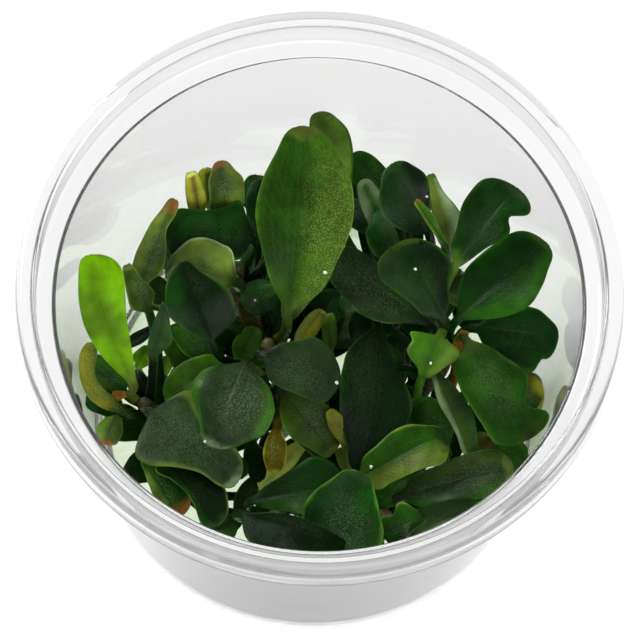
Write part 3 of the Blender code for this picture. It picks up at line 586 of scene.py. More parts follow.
        left=(0.8, 1.5, 2.0, 1.6, 0.9), right=(3.6, 5.2, 5.0, 4.2, 2.8), tint=dict(toneAndPaintedLight=1.1, gloss=0.04,
        margin="dark", heel="dark", paintedSheen=(-0.3, 0.5, 0.7))),
    "front_teal": grow("front_left", 1, (-9, -27.2, 38), (6, -24, 38.5), "dark",
        left=(1.5, 2.8, 4.3, 5.3, 3.8), right=(1.8, 3.0, 4.4, 4.6, 3.4), tint=dict(toneAndPaintedLight=0.9, right="leaf")),
    "front_left_low": grow("front_left", 3, (-12, -29, 33.5), (-18, -35, 34.5), "mid", width=6),
    "deep_yellow": grow("front_left", 4, (-8.5, -20.5, 24), (-1.5, -12.5, 26), "lime", width=3.7,
        tint=dict(toneAndPaintedLight=2.0, blade="straw")),
    "front_upright": grow("front_right", 0, (4.5, -37, 36), (8, -23.5, 45), "mid",
        left=(3.5, 6.0, 7.0, 5.8, 3.0), right=(4.5, 7.0, 7.0, 5.2, 3.0), tint=dict(toneAndPaintedLight=1.1, blade="dark",
        tip="grey")),
    "front_khaki": grow("front_right", 1, (8.6, -22.2, 38), (22.1, -15.7, 44), "bright",
        left=(2.3, 3.3, 4.2, 3.8, 2.0), right=(3.1, 3.5, 3.9, 4.1, 4.0), tint=dict(toneAndPaintedLight=0.75, left="leaf",
        middle="leaf", right="khaki", tip="dark", heel="olive", speckle="straw", speckles=0.5,
        paintedSheen=(0.7, 0.5, 0.75))),
    "front_small_light": grow("front_right", 2, (13, -31.5, 36.5), (19.5, -29, 39.5), "bright",
        left=(2.5, 2.6, 3.5, 3.3, 1.4), right=(2.8, 3.4, 2.8, 1.5, 0.6), biteLeft=(0.42, 0.1, 0.25),
        tint=dict(toneAndPaintedLight=0.85, blade="leaf", right="dark", tip="dark")),
    "front_right_speckled": grow("front_right", 3, (16, -24.5, 37), (34, -20, 40), "grey",
        left=(2.6, 3.4, 3.8, 4.1, 3.6), right=(2.5, 3.0, 3.2, 3.9, 2.6), tint=dict(toneAndPaintedLight=0.75, left="olive",
        right="leaf", tip="khaki", paintedSheen=(0.0, 0.5, 1.4))),
    "front_right_low": grow("front_right", 4, (18, -30.3, 34), (28.5, -25.5, 37), "deep",
        left=(3.0, 3.6, 3.8, 3.4, 2.4), right=(2.5, 3.0, 3.2, 2.6, 1.6), tint=dict(toneAndPaintedLight=1.2, blade="grey",
        tip="leaf", heel="black", paintedSheen=(0.0, 0.5, 1.3))),
    "right_low": grow("front_right", 5, (30.5, -17, 35), (36.3, -15.5, 36), "dark", width=6,
        tint=dict(toneAndPaintedLight=1.4, blade="leaf")),
}


def petioleRoot(stem, rank, base):
    # where a petiole starts, beside the rhizome, on the side that faces the blade's base
    path = stemPath(stem, 60)
    drop = stemMake["firstRank"] + rank * stemMake["rankStep"]
    place = path[np.nonzero(path[-1, 2] - path[:, 2] >= drop)[0][-1]]
    outward = unit((base[0] - path[-1, 0], base[1] - path[-1, 1], 0.0))
    return place + outward * (stemMake["radius"] + stemMake["touchGap"]), outward


def roundTip(share):
    # falls from 1 to 0 along a blade, as the end of a rounded leaf does
    return np.sqrt(1 - np.asarray(share) ** 8)


def curveThrough(first, values, share):
    # cubic Hermite curve along the blade, from its first value through those at the stations
    places = np.array((0.0, *stations, 1.0))
    values = np.array((first, *values, values[-1]))
    slopes = np.gradient(values, places)
    low = np.clip(np.searchsorted(places, share, side="right") - 1, 0, len(places) - 2)
    step = places[low + 1] - places[low]
    t = (share - places[low]) / step
    start = values[low] * (1 + 2 * t) * (1 - t) ** 2 + slopes[low] * step * t * (1 - t) ** 2
    return start + values[low + 1] * t * t * (3 - 2 * t) + slopes[low + 1] * step * t * t * (t - 1)


def halfWidths(leaf, word, inside):
    # half width of one side of a blade, less a bite shaped as a bell curve
    given = leaf[word.lower()]
    given = np.array(given) if given else np.array(plainOutline) * leaf["width"] / 2
    full = curveThrough(leafMake["petioleHalfWidth"], given / roundTip(stations), inside)
    place, size, depth = leaf["bite" + word]
    bite = 1 - depth * np.exp(-((inside - place) / size) ** 2) * (inside > 0)
    return full * roundTip(inside) * bite + leafMake["tipHalfWidth"] * inside ** 3


def leafMiddle(leaf, root, outward, petioleRows, bladeRows, columns):
    # Middle surface of a leaf. The midrib is a Bezier curve from base to tip that stands off its chord by
    # arch and sweep. Across it the section turns by fold, cup and, near the margin, curl, as long as
    # the half width of that side. Its margin ripples along the blade, with the square of the way out.
    base, tip = np.array(leaf["base"], float), np.array(leaf["tip"], float)
    length = np.linalg.norm(tip - base)
    chord = (tip - base) / length
    upward = unit(np.array((0.0, 0.0, 1.0)) - chord * chord[2])
    level = np.cross(chord, upward)
    roll = math.radians(leaf["roll"])
    normal = upward * math.cos(roll) + level * math.sin(roll)
    side = np.cross(chord, normal)
    lift = (normal * leaf["arch"] + side * leaf["sweep"]) * 4 / 3
    near, far = base + chord * length / 3 + lift, tip - chord * length / 3 + lift
    start = unit(near - base)
    reach = np.linalg.norm(base - root)
    out = np.array(outward) * 0.75 + np.array((0.0, 0.0, 0.25))
    petiole = (root, root + out * reach * 0.4, base - start * reach * 0.35, base)

    stalk = np.linspace(0.0, 1.0, petioleRows + 1)[:-1]
    even = np.linspace(0.0, 1.0, bladeRows)
    blade = (1 - np.cos(even * math.pi)) / 2
    blade = blade * 0.6 + even * 0.4  # rows closer together at both ends
    middle = np.vstack((bezier(petiole, stalk), bezier((base, near, far, tip), blade)))
    along = np.concatenate((stalk - 1.0, blade))
    tangent = unit(np.gradient(middle, axis=0))
    turn = np.radians(leaf["twist"]) * np.clip(along, 0.0, 1.0)
    right = unit(side - tangent * (tangent @ side)[:, None])
    face = np.cross(right, tangent)
    right, face = (right * np.cos(turn)[:, None] - face * np.sin(turn)[:, None],
                   face * np.cos(turn)[:, None] + right * np.sin(turn)[:, None])

    inside = np.clip(along, 0.0, 1.0)
    blend = np.sin(math.pi * (0.06 + 0.9 * inside)) ** 0.5 * (along >= 0)

    steps = leafMake["sectionSteps"]
    middles = (np.arange(steps) + 0.5) / steps
    across = np.sin(np.linspace(-1, 1, columns) * math.pi / 2)
    across = np.sign(across) * np.abs(across) ** 1.15
    lateral, height = np.zeros((2, len(along), columns))
    for sign, word in ((-1.0, "Left"), (1.0, "Right")):
        margin = np.clip((middles - 0.5) / 0.5, 0.0, 1.0) ** 2
        angle = np.radians(leaf["fold"] + leaf["cup"] * middles + leaf["curl" + word] * margin)
        angle = angle[None] * blend[:, None]
        zero = np.zeros((len(along), 1))
        run = np.hstack((zero, np.cumsum(np.cos(angle), axis=1))) / steps
        rise = np.hstack((zero, np.cumsum(np.sin(angle), axis=1))) / steps
        breadth = halfWidths(leaf, word, inside)
        wave = leafMake["ripple"] * np.sin(math.tau * leafMake["ripples"] * inside + leaf["rank"] + sign)
        here = across * sign >= 0
        at = np.abs(across[here]) * steps
        low = np.clip(at.astype(int), 0, steps - 1)
        share = at - low
        lateral[:, here] = sign * (run[:, low] * (1 - share) + run[:, low + 1] * share) * breadth[:, None]
        height[:, here] = ((rise[:, low] * (1 - share) + rise[:, low + 1] * share) * breadth[:, None]
                           + wave[:, None] * across[here] ** 2)
    grid = middle[:, None] + right[:, None] * lateral[..., None] + face[:, None] * height[..., None]
    return grid, along, across, lateral, face


def leafSkin(leaf, root, outward, rows=None, columns=None):
    # The middle surface gets a thickness that falls to nothing at the margin, a rib below and a groove above.
    make = leafMake
    petioleRows, bladeRows = rows or (make["petioleRows"], make["bladeRows"])
    grid, along, across, lateral, face = leafMiddle(leaf, root, outward, petioleRows, bladeRows,
                                                    columns or make["columns"])
    normal = unit(np.cross(np.gradient(grid, axis=0), np.gradient(grid, axis=1)))
    normal *= np.sign(np.einsum("ijk,ik->ij", normal, face))[..., None]
    inside = np.clip(along, 0.0, 1.0)[:, None]
    blade = smooth(-0.05, 0.25, along)[:, None]
    edge = np.sqrt(np.clip(1 - np.abs(across) ** 5, 0, 1))[None]
    stalkEdge = np.sqrt(np.clip(1 - across ** 2, 0, 1))[None]
    thick = (make["petioleThickness"] / 2 * stalkEdge * (1 - blade)
             + make["bladeThickness"] / 2 * edge * blade)
    rib = make["ribHeight"] * np.exp(-(lateral / make["ribHalfWidth"]) ** 2) * blade * (1 - inside) ** 0.6
    groove = make["grooveDepth"] * np.exp(-(lateral / make["grooveHalfWidth"]) ** 2) * blade * (1 - inside)
    top = grid + normal * (thick - groove)[..., None]
    below = grid - normal * (thick + rib * edge)[..., None]
    rings = np.concatenate((top, below[:, -2:0:-1]), axis=1)
    points, faces = ringSkin(rings)
    ringAcross = np.concatenate((across, across[-2:0:-1]))
    ringUnder = np.concatenate((np.zeros(len(across)), np.ones(len(across) - 2)))
    rowsAlong = np.repeat(along[:, None], len(ringAcross), axis=1)
    values = {
        "across": np.concatenate((np.tile(ringAcross, (len(along), 1)).ravel(), (0, 0))),
        "along": np.concatenate((rowsAlong.ravel(), (along[0], along[-1]))),
        "under": np.concatenate((np.tile(ringUnder, (len(along), 1)).ravel(), (0, 0))),
    }
    return (points, faces), values


def makeLeaf(name, material, leaf, seed, rows=None, columns=None, lift=1.0, nodes=()):
    # one leaf as a piece of its own, named apart from its material; its skin is given back
    root, outward = petioleRoot(stems[leaf["stem"]], leaf["rank"], leaf["base"])
    skin, values = leafSkin(leaf, root, outward, rows, columns)
    finish = leafMaterial(material, {**looks[leaf["look"]], **leaf["tint"]}, seed, lift)
    makePiece(name, [skin], finish, nodes, values)
    return skin


# painted light: below litHeight little light comes, so a leaf's green is painted brighter by this share each
# mm
litHeight, depthPaintedLight = 44.0, 0.05
seedStep = 0.37  # sets the patterns of two leaves apart
mainSkins = []
for number, (name, given) in enumerate(leaves.items()):
    depth = max(0.0, litHeight - (given["base"][2] + given["tip"][2]) / 2)
    mainSkins.append(makeLeaf(name + "_blade", name, given, number * seedStep,
                              lift=1 + depthPaintedLight * depth, nodes=["leaf_" + name]))
leafPoints = np.vstack([points for points, faces in mainSkins])
print("leaves made:", len(leaves))

# Small leaves that the photo shows between the named ones, and others like them lower on each rhizome
smallLeaves = {
    "under_pointed": grow("centre", 9, (-18.6, -4.2, 33.5), (-25.2, 3.4, 36.0), "bright", width=7.5),
    "beside_stalk": grow("centre", 10, (-12.8, -2.6, 35), (-10.6, 3.6, 38), "bright", width=4.6),
    "lit_yellow": grow("back_left", 7, (-3.4, 3.2, 30), (0.8, 9.2, 33), "lime", width=3.4,
        tint=dict(blade="straw", middle="gold", right="gold")),
    "lit_green": grow("back_left", 9, (2.2, 2.0, 31), (1.8, 8.4, 34), "bright", width=2.6,
        tint=dict(blade="spring")),
    "lit_brown": grow("back_left", 8, (-9.6, 4.2, 31), (-13, 9.6, 36), "olive", width=4.2,
        tint=dict(blade="brown", right="gold")),
    "rolled_speckled": grow("right", 12, (5.6, -15.4, 36.5), (2.6, -11.6, 41), "olive", width=3.2, cup=-50,
        tint=dict(blade="gold", speckles=0.8)),
    "olive_bit": grow("front_left", 5, (7.0, -19.4, 30), (4.6, -15.6, 33.5), "olive", width=2.6,
        tint=dict(blade="khaki")),
    "behind_khaki": grow("right", 11, (22.6, -14.0, 33), (17.2, -6.8, 35.5), "mid", width=6.4),
    "khaki_triangle": grow("right", 13, (27.6, -16.2, 32), (30.0, -12.0, 34), "olive", width=5.6,
        tint=dict(blade="khaki", middle="brown")),
    "under_khaki": grow("front_right", 6, (12.2, -24.6, 32), (17.0, -19.4, 34.5), "mid", width=5.4),
    "lime_low": grow("left", 12, (-30.6, 3.2, 17), (-28.6, 5.8, 19), "lime", width=3.2),
    "lime_lower": grow("left", 13, (-27.4, 1.2, 16), (-25.0, 4.6, 18), "lime", width=3.0),
    "yellow_fold": grow("back_left", 10, (-19.3, 24.2, 40), (-20.6, 28.6, 46.5), "olive", width=4.0,
        fold=24, tint=dict(toneAndPaintedLight=1.8, blade="gold", right="olive", middle="olive")),
    "deep_centre": grow("centre", 10.5, (-1, 4, 25), (6.5, 10.5, 28), "dark", width=8),
    "deep_middle": grow("centre", 9.5, (-1.5, 6.5, 29), (3.2, 13.6, 31), "dark", width=6),
    "deep_front": grow("centre", 11, (-10, -12.5, 25), (-8.6, -19.6, 26), "dark", width=4),
    "deep_left": grow("left", 9.5, (-26.5, -11.4, 26), (-34, -13.5, 29), "mid", width=5),
    "deep_outer": grow("left", 8.5, (-32.5, -8.5, 27), (-37.8, -8, 31), "mid", width=6),
    "deep_front_left": grow("left", 7.5, (-25, -17.2, 26), (-31, -21, 28), "dark", width=6),
    "deep_crown": grow("left", 10.5, (-27.5, -7.5, 27), (-31.5, -2.2, 28), "deep", width=4),
    "bridge": grow("left", 11.5, (-33, 2.6, 26), (-27.5, 6.6, 27), "deep", width=2.2),
    "deep_right": grow("front_right", 7, (28.5, -13.6, 26), (34.8, -15.8, 28.5), "mid", width=6.5),
    "deep_right_mid": grow("right", 10.5, (24.6, -4.6, 27), (30, -10.5, 29), "dark", width=5),
    "deep_back_left": grow("back_left", 10.5, (-24.5, 9.5, 27), (-29.6, 14.8, 29), "olive", width=4.6),
    "deep_back_dark": grow("back_left", 11, (-11.6, 27, 31), (-11.8, 33.2, 33.5), "mid", width=6),
    "deep_back": grow("back_right", 8, (6.4, 27, 30), (4.8, 34.4, 33), "dark", width=5),
    "deep_stalks": grow("front_left", 6, (-9.5, -19.5, 26), (-11.5, -27, 27.5), "olive", width=3.6),
    "deep_twisted": grow("right", 11.5, (24.8, -8.5, 28), (23.6, -15.5, 29), "dark", width=3.4),
    "deep_front_right": grow("front_right", 8, (25, -21.8, 28.5), (31, -23.4, 30), "mid", width=3.6),
    "deep_red": grow("front_left", 7, (-20.5, -24, 28), (-26.4, -27.4, 30), "dark", width=3.4),
    "deep_rim_left": grow("front_left", 5.5, (-11.0, -27.0, 29), (-17.5, -31.5, 30.5), "dark", width=5),
    "deep_rim_right": grow("front_right", 6.5, (11.5, -29.0, 29), (9.5, -35.0, 30.5), "dark", width=5),
    "deep_corner": grow("front_right", 7.5, (29.5, -18.6, 30), (34.4, -18.2, 31), "dark", width=3),
    "curled_bowl": grow("left", 3.5, (-32.8, -12.2, 36.6), (-38.1, -11.2, 38.5), "dark", width=4.6),
    "sheath_left": grow("left", 9, (-33.6, -11.0, 37.5), (-31.4, -10.4, 40), "brown", width=1.6,
        tint=dict(toneAndPaintedLight=1.2, blade="rust")),
    "sheath_right": grow("right", 10, (23.6, -0.2, 40.5), (24.6, 3.2, 43), "brown", width=2.2,
        tint=dict(toneAndPaintedLight=1.4, blade="rust")),
}
smallMake = {"rows": (8, 20), "columns": 17, "seedStep": 0.53, "firstSeed": 20}

# Undergrowth: how many leaves each rhizome tries to grow, how clear they stand, and their sizes
underMake = {"seed": 11, "ranks": 18, "firstRank": 3, "rankStep": 1.1, "triesPerLeaf": 18, "clearance": 0.35,
             "wallGap": 3.5, "lowGap": 3.0, "lowHeight": 26, "gelGap": 0.5, "levelGap": 3, "nearby": 14,
             "rows": (4, 13), "columns": 9, "goldenAngle": 137.5, "reach": (3.0, 11.0), "raise": (0.0, 4.0),
             "length": (7.0, 13.0), "droop": (-3.0, 3.5), "width": (5.0, 9.0), "arch": (0.4, 1.6),
             "sweep": 1.0, "roll": 30, "fold": (2, 16), "twist": 25, "patternSeed": 3.1,
             "kinds": ("dark", "mid", "dark", "olive")}

# Where the photo looks down between the leaves to the bottom: a place at height 18, how wide, and the height
# above which it stays clear. Each leans towards the front as it rises, by lean.
clearings = ((-29.5, 17.5, 3.0, 15), (-30.8, 11.0, 3.2, 15), (-28.2, 6.0, 3.8, 15), (-25.8, 5.2, 2.6, 15),
             (24.6, 10.5, 2.0, 15), (27.1, -3.2, 1.2, 15), (21.2, 31.2, 1.6, 15), (8.6, 38.4, 1.2, 15),
             (-13.1, -18.0, 1.4, 15), (-5.0, -13.8, 4.0, 24), (-1.3, 11.2, 2.8, 30))
clearingHeight, lean = 18, 0.385


def inClearing(points):
    # true if any point stands in a clearing
    for x, y, radius, floor in clearings:
        aside = np.hypot(points[:, 0] - x, points[:, 1] - y + lean * (points[:, 2] - clearingHeight))
        if ((aside < radius) & (points[:, 2] > floor)).any():
            return True
    return False


insideWall = {"low": 36.6, "ledge": 43.3, "ledgeHeight": 61.6}


def wallRadius(height):
    # inside radius of the tapered wall, from the radii at the underside and at the ledge
    share = (insideWall["ledge"] - insideWall["low"]) * height / insideWall["ledgeHeight"]
    return insideWall["low"] + share


def growUndergrowth(taken):
    # Leaves leave each rhizome a golden angle apart. One that comes too near another is left out.
    make = underMake
    chance = np.random.default_rng(make["seed"])
    grown = {kind: [] for kind in make["kinds"]}
    for stem in stems.values():
        path = stemPath(stem, 60)
        for rank in range(make["firstRank"], make["ranks"] + make["firstRank"]):
            for attempt in range(make["triesPerLeaf"]):
                turn = math.radians(make["goldenAngle"]) * rank + chance.uniform(0, math.tau)
                drop = stemMake["firstRank"] + rank * make["rankStep"]
                level = path[-1, 2] - drop
                if level < gelHigh[2] + make["levelGap"]:
                    continue
                away = np.array((math.cos(turn), math.sin(turn), 0.0))
                crown = path[-1] * (1, 1, 0)
                reach, length = chance.uniform(*make["reach"]), chance.uniform(*make["length"])
                base = crown + away * reach + (0, 0, level + chance.uniform(*make["raise"]))
                tip = base + away * length + (0, 0, chance.uniform(*make["droop"]))
                one = grow("", rank, base, tip, "", width=chance.uniform(*make["width"]),
                           arch=chance.uniform(*make["arch"]),
                           sweep=chance.uniform(-make["sweep"], make["sweep"]),
                           roll=chance.uniform(-make["roll"], make["roll"]),
                           fold=chance.uniform(*make["fold"]),
                           twist=chance.uniform(-make["twist"], make["twist"]))
                root, outward = petioleRoot(stem, drop / stemMake["rankStep"], base)
                skin, values = leafSkin(one, root, outward, make["rows"], make["columns"])
                points = skin[0]
                radius = np.hypot(points[:, 0], points[:, 1])
                gap = make["wallGap"] + make["lowGap"] * (points[:, 2] < make["lowHeight"])
                if (radius > wallRadius(points[:, 2]) - gap).any():
                    continue
                if points[:, 2].min() < gelHigh[2] + make["gelGap"] or inClearing(points):
                    continue
                probes = points[len(points) // 5:]
                near = taken[(np.abs(taken - points.mean(0)) < make["nearby"]).all(1)]
                if len(near):
                    gaps = np.linalg.norm(probes[:, None] - near[None], axis=2).min()
                    if gaps < make["clearance"]:
                        continue
                taken = np.vstack((taken, points[::2]))
                grown[make["kinds"][chance.integers(len(make["kinds"]))]].append((skin, values))
                break
    return grown


for number, (name, given) in enumerate(smallLeaves.items()):
    seed = number * smallMake["seedStep"] + smallMake["firstSeed"]
    skin = makeLeaf("small_" + name, "small_" + name, given, seed, smallMake["rows"], smallMake["columns"])
    leafPoints = np.vstack((leafPoints, skin[0]))
print("small leaves made:", len(smallLeaves))

# White flecks that lie on the leaves: place across the cup and radius
flecks = ((15.6, 9.3, 0.26), (16.9, 22.3, 0.22), (0.7, 8.0, 0.3), (-15.2, -4.6, 0.2), (10.2, -20.8, 0.3),
          (19.1, -5.0, 0.26), (-17.6, -19.8, 0.24), (3.6, -8.3, 0.32), (23.0, 10.4, 0.2), (-10.9, 8.4, 0.2))


fleckMake = {"rings": 9, "around": 14, "wave": 0.3, "height": 0.6, "lift": 0.4, "dropFrom": 90,
             "grey": (0.75, 0.76, 0.7, 1), "white": (0.95, 0.95, 0.92, 1), "grain": 2600.0}


def fleckSkin(spot, normal, radius, number):
    # A lump on a leaf: a ball flattened along the leaf's normal, its radius waved.
    make = fleckMake
    turns = np.linspace(0.2, math.pi - 0.2, make["rings"])
    profile = np.stack((np.sin(turns), -np.cos(turns)), -1) * radius
    ball = turnedRings(profile, make["around"])
    ball[..., 0] *= 1 + make["wave"] * np.sin(3 * ball[..., 1] / radius + number)
    side = unit(np.cross(normal, (0.3, 0.9, 0.1)))
    normal = np.array(normal)
    other = np.cross(normal, side)
    rings = ball[..., :1] * side + ball[..., 1:2] * other + ball[..., 2:] * make["height"] * normal
    return ringSkin(rings + np.array(spot) + normal * radius * make["lift"])


def fleckMaterial():
    # White, greyer in its grain.
    material, w, shader = newMaterial("fleck", {})
    grain = w.noise(w.place(), fleckMake["grain"], 3.0, 0.6)
    w.join(w.blend(grain, fleckMake["grey"], fleckMake["white"]), shader.inputs["Base Color"])
    w.join(w.ramp(grain, 0.3, 0.7, 0.3, 0.5), shader.inputs["Roughness"])
    return material


# each fleck drops from above onto the first leaf under it
leafTree = bvhtree.BVHTree.FromPolygons(*(list(part) for part in joinSkins(mainSkins)))
fleckSkins = []
for number, (x, y, radius) in enumerate(flecks):
    above = Vector((x, y, fleckMake["dropFrom"]))
    spot, normal = leafTree.ray_cast(above, Vector((0, 0, -1)))[:2]
    if spot is None:
        print("no leaf under fleck", number)
    else:
        fleckSkins.append(fleckSkin(spot, normal, radius, number))
makePiece("flecks", fleckSkins, fleckMaterial())

grown = growUndergrowth(leafPoints[::3])
for kind, shapes in grown.items():
    name = "undergrowth_" + kind
    values = {title: np.concatenate([made[title] for skin, made in shapes])
              for title in ("across", "along", "under")}
    finish = leafMaterial(name, looks[kind], underMake["patternSeed"])
    makePiece(name, [skin for skin, made in shapes], finish, values=values)
print("undergrowth made:", {kind: len(shapes) for kind, shapes in grown.items()})

cupMake = {"height": cupHigh[2], "flangeRadius": cupHigh[0], "mouthRadius": 46.5, "mouthDepth": 6.4,
           "baseRadius": 37.5, "wall": 0.55, "floor": 1.4, "ledgeRadius": 43.3, "skirtDrop": 4.6,
           "around": 256, "roundSteps": 5}


def roundedProfile(corners, steps):
    # Each corner of an outline with a rounding radius becomes an arc, cut as a quadratic Bezier curve.
    points = []
    for index, (radius, height, rounding) in enumerate(corners):
        here = np.array((radius, height), float)
        if rounding == 0 or index in (0, len(corners) - 1):
            points.append(here)
            continue
        before = np.array(corners[index - 1][:2], float) - here
        after = np.array(corners[index + 1][:2], float) - here
        first = here + before * min(0.48, rounding / np.linalg.norm(before))
        last = here + after * min(0.48, rounding / np.linalg.norm(after))
        for share in np.linspace(0, 1, steps):
            points.append(first * (1 - share) ** 2 + here * 2 * share * (1 - share) + last * share ** 2)
    return points


def cupProfile():
    # up the inside, over the rim and down the outside: radius, height, rounding
    make = cupMake
    top, ledge = make["height"], make["height"] - make["mouthDepth"]
    skirt, wall, flange = top - make["skirtDrop"], make["wall"], make["flangeRadius"]
    mouth, outer, base = make["mouthRadius"], make["mouthRadius"] + make["wall"], make["baseRadius"]
    floor = make["floor"]
    return roundedProfile([
        (0.0, floor, 0), (base - wall - 0.3, floor, 1.6), (make["ledgeRadius"], ledge, 0.35),
        (mouth - 0.1, ledge + 0.35, 0.7), (mouth, top - 0.05, 0.45),
        (flange - 0.4, top - 0.15, 1.3), (flange, skirt, 0.15), (flange - wall, skirt, 0.15),
        (flange - wall - 0.1, top - 1.5, 0.5), (outer, top - 1.4, 0.4),
        (outer, ledge - 0.3, 0.6), (make["ledgeRadius"] + wall, ledge - wall, 0.4),
        (base + 0.1, 0.4, 1.3), (base - 1.6, 0.0, 0.4), (0.0, 0.0, 0),
    ], make["roundSteps"])


# heights here are in metres, as the shader sees them
plastic = {"clear": (0.87, 0.875, 0.87, 1), "paintedLeafReflection": (0.64, 0.73, 0.6, 1), "reflectionTop": 0.034,
           "reflectionFull": 0.01, "squeeze": 5.0, "reflectionStreaks": 45.0, "transmission": 0.95, "ior": 1.46,
           "haze": 90.0, "roughness": (0.02, 0.05), "ripple": 55.0, "bump": 0.04, "bumpDepth": 0.0003}


def clearPlasticMaterial():
    # Clear moulded plastic with a faint haze, and the soft ripple that its walls have. Low on the wall it
    # carries a painted reflection of the leaves: pale green streaks, from noise squeezed along the height.
    material, w, shader = newMaterial("clearPlastic", {"Transmission Weight": plastic["transmission"],
                                                       "IOR": plastic["ior"]})
    place = w.place()
    parts = w.put("ShaderNodeSeparateXYZ")
    w.join(place, parts.inputs[0])
    squeezed = w.put("ShaderNodeCombineXYZ")
    w.join(parts.outputs["X"], squeezed.inputs["X"])
    w.join(parts.outputs["Y"], squeezed.inputs["Y"])
    w.join(w.times(parts.outputs["Z"], plastic["squeeze"]), squeezed.inputs["Z"])
    # painted reflection of the leaves: pale green streaks low on the wall
    reflectionStreaks = w.ramp(w.noise(squeezed.outputs[0], plastic["reflectionStreaks"], 3.0, 0.5), 0.42, 0.66)
    low = w.ramp(parts.outputs["Z"], plastic["reflectionTop"], plastic["reflectionFull"])
    color = w.blend(w.times(reflectionStreaks, low), plastic["clear"], plastic["paintedLeafReflection"])
    w.join(color, shader.inputs["Base Color"])
    haze = w.ramp(w.noise(place, plastic["haze"], 3.0, 0.5), 0.3, 0.7, *plastic["roughness"])
    w.join(haze, shader.inputs["Roughness"])
    addBump(w, shader, w.noise(place, plastic["ripple"], 3.0, 0.45), plastic["bump"], plastic["bumpDepth"])
    return material


makePiece("clear_cup", [ringSkin(turnedRings(cupProfile()[1:-1], cupMake["around"]))],
          clearPlasticMaterial(), nodes=["cup"])
print("cup made")

gelMake = {"gap": 0.3, "meniscus": 0.35, "around": 128, "ripple": 0.12, "cloudy": (0.86, 0.94, 0.78, 1),
           "green": (0.74, 0.86, 0.62, 1), "clouds": 120.0, "ior": 1.34, "roughness": (0.06, 0.16),
           "grain": 220.0, "bump": 0.2, "bumpDepth": 0.0004}


def gelSkin():
    # A turned layer with a raised lip where it meets the wall and a slow ripple on top.
    low, top = gelLow[2], gelHigh[2]
    edge = wallRadius(top) - gelMake["gap"] - 0.2
    radii = np.concatenate((np.linspace(0.5, edge - 3, 24), np.linspace(edge - 2.5, edge, 8)))
    lip = gelMake["meniscus"] * np.exp(-(edge - radii) / 1.2)
    upper = np.stack((radii, top - 0.4 + lip - gelMake["meniscus"] * 0.1), -1)
    lower = np.array(((edge - 0.2, top - 2), (wallRadius(low + 2) - 0.6, low + 2),
                      (wallRadius(low) - 2.2, low), (0.5, low)))
    rings = turnedRings(np.vstack((upper, lower)), gelMake["around"])
    inner = np.clip((edge - np.hypot(rings[..., 0], rings[..., 1])) / 6, 0, 1) * (rings[..., 2] > top - 1)
    wave = np.sin(rings[..., 0] / 3.1) * np.cos(rings[..., 1] / 2.6 + 0.7) - 1
    rings[..., 2] += gelMake["ripple"] * wave * inner
    return ringSkin(rings)


def gelMaterial():
    # Clear jelly, clouded with pale green.
    material, w, shader = newMaterial("gel", {"Transmission Weight": 1.0, "IOR": gelMake["ior"]})
    place = w.place()
    clouds = w.ramp(w.noise(place, gelMake["clouds"], 3.0, 0.6), 0.35, 0.7)
    w.join(w.blend(clouds, gelMake["cloudy"], gelMake["green"]), shader.inputs["Base Color"])
    w.join(w.ramp(clouds, 0.0, 1.0, *gelMake["roughness"]), shader.inputs["Roughness"])
    addBump(w, shader, w.noise(place, gelMake["grain"], 2.0, 0.5), gelMake["bump"], gelMake["bumpDepth"])
    return material


makePiece("gel_layer", [gelSkin()], gelMaterial(), nodes=["gel"])
print("gel made")

studio = {"floorSize": 3.0, "floorGlow": 0.92, "floorGrey": (0.2, 0.2, 0.2, 1), "overhead": 0.3,
          "horizon": 0.9, "keyPower": 9.5, "keySize": 0.5, "keyPlace": (-0.6, 0.6, 0.7),
          "fillPower": 5.0, "fillSize": 0.8, "fillPlace": (0.3, -0.7, 0.6), "lightsAim": (0, 0, 0.04)}


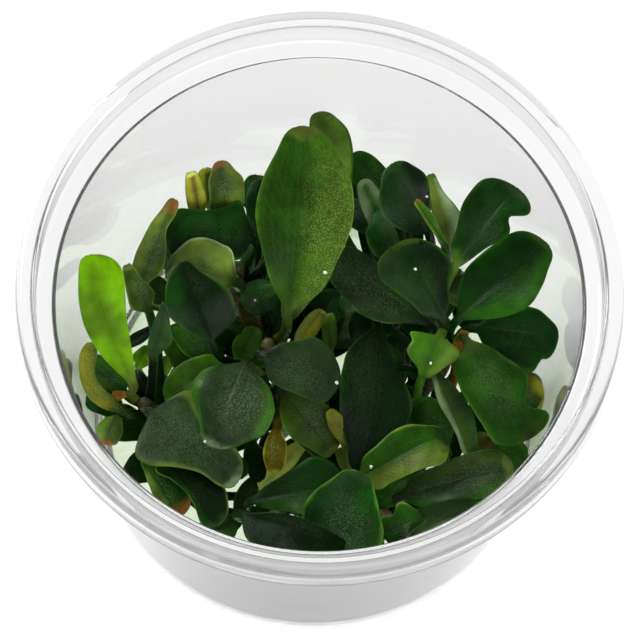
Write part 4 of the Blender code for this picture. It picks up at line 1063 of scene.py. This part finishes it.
def makeFloor():
    # a large white sheet under the cup that glows evenly
    half = studio["floorSize"] / 2
    mesh = bpy.data.meshes.new("floor")
    mesh.from_pydata([(-half, -half, 0), (half, -half, 0), (half, half, 0), (-half, half, 0)], [],
                     [(0, 1, 2, 3)])
    mesh.materials.append(newMaterial("floor", {
        "Base Color": studio["floorGrey"], "Roughness": 0.9, "Emission Color": (1, 1, 1, 1),
        "Emission Strength": studio["floorGlow"]})[0])
    floor = bpy.data.objects.new("floor", mesh)
    bpy.context.scene.collection.objects.link(floor)


def addAreaLight(name):
    data = bpy.data.lights.new(name, "AREA")
    data.energy, data.size = studio[name + "Power"], studio[name + "Size"]
    lamp = bpy.data.objects.new(name, data)
    lamp.location = studio[name + "Place"]
    aim = Vector(studio["lightsAim"]) - Vector(lamp.location)
    lamp.rotation_euler = aim.to_track_quat("-Z", "Y").to_euler()
    bpy.context.scene.collection.objects.link(lamp)


def makeWorld():
    # a white tent, bright around the horizon and dimmer overhead
    world = bpy.data.worlds.new("studio")
    world.use_nodes = True
    w = Wiring(world.node_tree)
    background = world.node_tree.nodes["Background"]
    direction = w.put("ShaderNodeSeparateXYZ")
    w.join(w.put("ShaderNodeTexCoord").outputs["Generated"], direction.inputs[0])
    height = w.ramp(direction.outputs["Z"], 0.1, 0.9, studio["horizon"], studio["overhead"])
    w.join(height, background.inputs["Strength"])
    fill(background, {"Color": (1, 1, 1, 1)})
    bpy.context.scene.world = world


makeFloor()
addAreaLight("key")
addAreaLight("fill")
makeWorld()
bpy.context.scene.view_settings.view_transform = "Standard"

# The photo looks down at 69 degrees from the front, turned a little about the line of sight
shot = {"elevation": 68.93, "turn": 3.25, "distance": 841.0, "aim": (0.28, 0.0, 52.5), "lens": 285.4}


def addCamera():
    data = bpy.data.cameras.new("camera")
    data.lens, data.sensor_width = shot["lens"], 36.0
    data.clip_start, data.clip_end = 0.05, 10.0
    camera = bpy.data.objects.new("camera", data)
    tilt = math.radians(shot["elevation"])
    back = Vector((0.0, -math.cos(tilt), math.sin(tilt)))
    camera.location = (Vector(shot["aim"]) + back * shot["distance"]) * mm
    upright = Matrix.Rotation(math.radians(90 - shot["elevation"]), 3, "X")
    camera.rotation_euler = (upright @ Matrix.Rotation(math.radians(shot["turn"]), 3, "Z")).to_euler()
    bpy.context.scene.collection.objects.link(camera)
    bpy.context.scene.camera = camera


addCamera()
print("studio ready")
